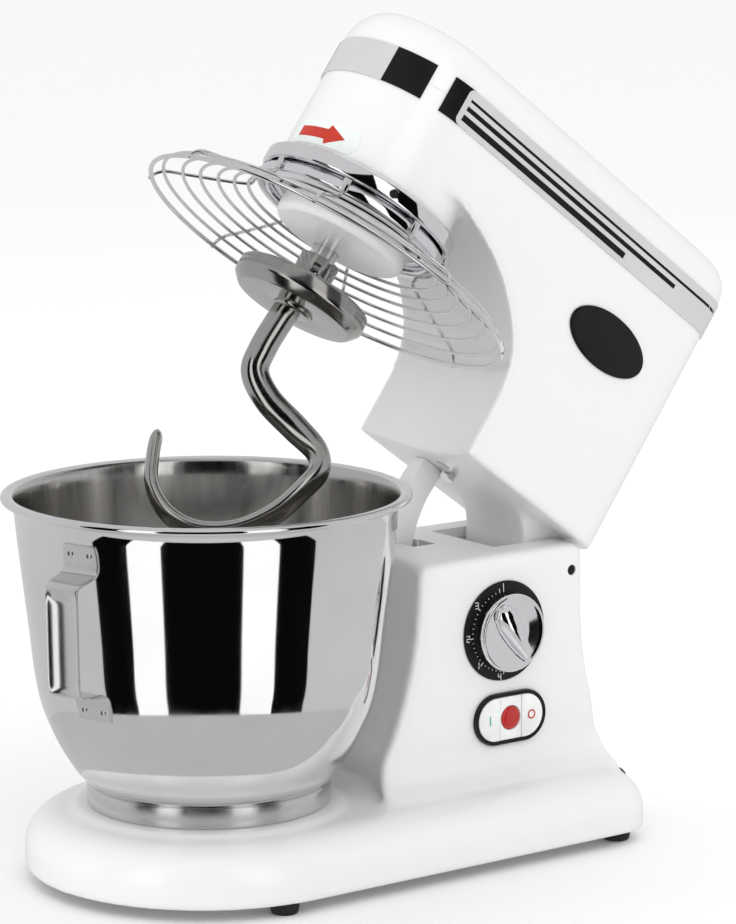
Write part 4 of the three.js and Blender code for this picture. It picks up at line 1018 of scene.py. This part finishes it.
def knob():
    """Round cap with a tapered pointer grip across it, turned to the scale's mark."""
    profile = softened([(0, 0), (21, 0), (21, 3.5), (26, 5.2), (26, 8.6), (24.8, 10), (22.5, 9.6),
                        (12, 8.6), (0, 8.6)], 1.0, 4)
    body = lathe("knob_body", profile, 96)
    rings = []
    half_long = 22.5
    for along in np.linspace(-half_long, half_long, 37):
        f = along / half_long
        width = 1.0 + (6.4 - 3.4 * f) * math.sqrt(max(1 - abs(f) ** 2.6, 0))
        tall = 7.5 + (9.5 - 1.5 * f) * math.sqrt(max(1 - abs(f) ** 2.4, 0))
        ring = []
        for t in full_turn(28):
            across = math.copysign(abs(math.cos(t)) ** 0.7, math.cos(t))
            up = math.copysign(abs(math.sin(t)) ** 0.7, math.sin(t))
            ring.append((along, across * width * (1.15 - 0.25 * max(up, 0)), 4 + (tall - 4) * max(up, -0.3)))
        rings.append(ring)
    grip = skin("grip", rings)
    whole = joined("knob_cap", [body, grip])
    remeshed(whole, KNOB_VOXEL, 5)
    turn = Matrix.Rotation(math.radians(-59.6), 4, "X")
    face = Matrix(((0, 0, 1, 0), (1, 0, 0, 0), (0, 1, 0, 0), (0, 0, 0, 1)))
    whole.data.transform(Matrix.Translation((COLUMN_HALF + 2.3, DIAL.y, DIAL.z)) @ turn @ face)
    stem = bar_x("stem", 4, 44, COLUMN_HALF + 5, DIAL.y, DIAL.z, 32)
    made = joined("knob_cap", [whole, stem])
    finished(shaded(made, 40), BODY, "knob", "chrome", ["speed_knob"])


def switch():
    """Black stadium frame, two white keys with symbols, and a red lamp between them."""
    face = COLUMN_HALF + PLATE_GAP
    frame_rings = []
    for inset, lift, wide, tall in ((0, 0, 1, 1), (0, 2.2, 1, 1), (0, 3.0, 0.985, 0.975),
                                    (FRAME_INSET, 3.0, 1.012, 1.02), (FRAME_INSET, 2.4, 1, 1),
                                    (FRAME_INSET, 0, 1, 1)):
        frame_rings.append([(face + lift, SWITCH.y + (y - SWITCH.y) * wide,
                             SWITCH.z + (z - SWITCH.z) * tall) for y, z in switch_outline(inset)])
    bezel = skin("switch_frame", frame_rings, closed_rings=True)
    finished(shaded(bezel, 40), BODY, "root", "black_plastic", ["switch_bezel"])
    key_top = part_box("on_button")[1].x / MM
    plate_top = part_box("switch_plate")[1].x / MM
    for name, body, low, high in (("on", "on_key", -30, -9.2), ("off", "off_key", 9.2, 30)):
        key = extruded_x("key_" + name, switch_outline(KEY_INSET), 56, key_top)
        boolean(key, [box("keep", (50, SWITCH.y + low, 50), (80, SWITCH.y + high, 120))], "INTERSECT")
        rounded(key, 0.5, 3, 40)
        finished(shaded(key, 30), BODY, body, "white_plastic", [name + "_button"])
    foot = 53
    plate = extruded_x("switch_middle", switch_outline(KEY_INSET), foot, plate_top)
    boolean(plate, [box("keep", (50, SWITCH.y - 8.8, 50), (80, SWITCH.y + 8.8, 120))], "INTERSECT")
    boolean(plate, [bar_x("hole", LAMP_RADIUS + 0.3, 50, 80, SWITCH.y, SWITCH.z)])
    rounded(plate, 0.3, 2, 40)
    finished(shaded(plate, 30), BODY, "root", "white_plastic", ["switch_plate"])
    lamp_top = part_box("pilot_lamp")[1].x / MM
    profile = softened([(0, 0), (LAMP_RADIUS, 0), (LAMP_RADIUS, lamp_top - 54), (6.6, lamp_top - 53.1),
                        (0, lamp_top - 52.6)], 0.8, 4)
    lamp = along_x(lathe("lamp_lens", profile, 64), (foot, SWITCH.y, SWITCH.z))
    finished(shaded(lamp, 30), BODY, "root", "red_plastic", ["pilot_lamp"])
    sunk, proud, half_tall = -0.02, 0.14, 3.2
    line = box("on_symbol", (key_top + sunk, SWITCH.y - 18, SWITCH.z - half_tall),
               (key_top + proud, SWITCH.y - 16.9, SWITCH.z + half_tall))
    finished(line, BODY, "on_key", "white_plastic", look="print_green")
    profile = [(2.2, sunk), (half_tall, sunk), (half_tall, proud), (2.2, proud)]
    ring = along_x(lathe("off_symbol", profile, 48), (key_top, SWITCH.y + 17.2, SWITCH.z))
    finished(ring, BODY, "off_key", "white_plastic", look="print_red")


# ---------------- studio
def camera():
    data = bpy.data.cameras.new("camera")
    data.lens = 141.0
    data.sensor_width = 36.0
    data.clip_end = 100
    obj = link(bpy.data.objects.new("camera", data))
    obj.location = BODY @ Vector((1862.6, -1256.8, 662.3))
    obj.rotation_euler = Vector(CAMERA_BACK).to_track_quat("Z", "Y").to_euler()
    bpy.context.scene.camera = obj


def stage_material(name, color, strength=None):
    mat = bpy.data.materials.new(name)
    mat.use_nodes = True
    tree = mat.node_tree
    if strength is not None:
        tree.nodes.clear()
        out = tree.nodes.new("ShaderNodeOutputMaterial")
        glow = tree.nodes.new("ShaderNodeEmission")
        glow.inputs["Color"].default_value = (*color, 1)
        glow.inputs["Strength"].default_value = strength
        tree.links.new(glow.outputs[0], out.inputs[0])
    else:
        shader = tree.nodes["Principled BSDF"]
        shader.inputs["Base Color"].default_value = (*color, 1)
        shader.inputs["Roughness"].default_value = 0.9
    return mat


def reflection_only(obj):
    for flag in ("visible_camera", "visible_diffuse", "visible_shadow", "visible_transmission"):
        setattr(obj, flag, False)


def card(name, start, end, color, strength):
    """A curved studio card round the bowl axis, seen only in reflections; angles are from the camera."""
    radius, low, high = 2.4, -1.6, 2.4
    middle = math.atan2(CAMERA_BACK[1], CAMERA_BACK[0])
    rings = []
    for t in np.linspace(math.radians(start), math.radians(end), 12):
        x, y = AXIS_X + radius * math.cos(middle + t), AXIS_Y + radius * math.sin(middle + t)
        rings.append([(x, y, low), (x, y, high)])
    verts = [p for ring in rings for p in ring]
    faces = [(2 * i, 2 * i + 1, 2 * i + 3, 2 * i + 2) for i in range(len(rings) - 1)]
    obj = mesh_object(name, verts, faces)
    obj.data.materials.append(stage_material(name, color, strength))
    reflection_only(obj)


def area(name, place, size, power):
    data = bpy.data.lights.new(name, "AREA")
    data.shape = "RECTANGLE"
    data.size, data.size_y = size
    data.energy = power
    obj = link(bpy.data.objects.new(name, data))
    obj.location = place
    away = Vector(place) - Vector((0, 0, 0.25))
    obj.rotation_euler = away.to_track_quat("Z", "Y").to_euler()
    obj.visible_glossy = False


def floor_disc(name, radius, material):
    data = bpy.data.meshes.new(name)
    verts = [(AXIS_X + radius * math.cos(t), AXIS_Y + radius * math.sin(t), 0) for t in full_turn(96)]
    data.from_pydata(verts, [], [tuple(range(len(verts)))])
    floor = link(bpy.data.objects.new(name, data))
    floor.data.materials.append(material)
    return floor


def background(tree, color, strength):
    made = tree.nodes.new("ShaderNodeBackground")
    made.inputs["Color"].default_value = (*color, 1)
    made.inputs["Strength"].default_value = strength
    return made


def studio():
    """Pale floor, white surroundings, soft lights, and the cards that the bowl's bands come from."""
    floor = floor_disc("floor", 24, stage_material("floor", (0.97, 0.97, 0.97)))
    floor.visible_glossy = False
    shine = floor_disc("floor_shine", FLOOR_NEAR, stage_material("floor_shine", (1, 1, 1), 0.58))
    shine.location.z = -0.0004
    reflection_only(shine)
    for word, start, end in (("middle", -25, 24), ("left", -69, -46), ("right", 46, 70)):
        card("card_black_" + word, start, end, (0.003, 0.003, 0.003), 1.0)
    for word, start, end in (("left", -46, -25), ("right", 24, 46)):
        card("card_white_" + word, start, end, (1, 1, 1), 1.3)
    world = bpy.data.worlds.new("world")
    bpy.context.scene.world = world
    world.use_nodes = True
    tree = world.node_tree
    tree.nodes.clear()
    out = tree.nodes.new("ShaderNodeOutputWorld")
    path = tree.nodes.new("ShaderNodeLightPath")
    plain = background(tree, (1, 1, 1), 1.0)
    shiny = background(tree, (0.99, 0.99, 1), 0.66)
    seen = background(tree, (1, 1, 1), 1.0)
    first = tree.nodes.new("ShaderNodeMixShader")
    second = tree.nodes.new("ShaderNodeMixShader")
    for source, output, target, socket in (
        (path, "Is Glossy Ray", first, 0), (plain, 0, first, 1), (shiny, 0, first, 2),
        (path, "Is Camera Ray", second, 0), (first, 0, second, 1), (seen, 0, second, 2),
        (second, 0, out, 0),
    ):
        tree.links.new(source.outputs[output], target.inputs[socket])
    area("key", (2.4, -0.9, 2.2), (1.6, 1.6), 15)
    area("fill", (-0.8, -2.6, 0.55), (1.8, 1.2), 12)
    area("back", (-1.0, 2.6, 1.9), (1.6, 1.6), 6)
    bpy.context.scene.view_settings.view_transform = "Standard"


camera()
studio()
dress_cad_nodes()
base_shell()
feet()
bowl()
head_shells()
bands()
badges()
arrow()
planetary()
guard()
hook()
dial()
switch()


def corners(bounds):
    return [list(map(float, corner)) for corner in bounds]
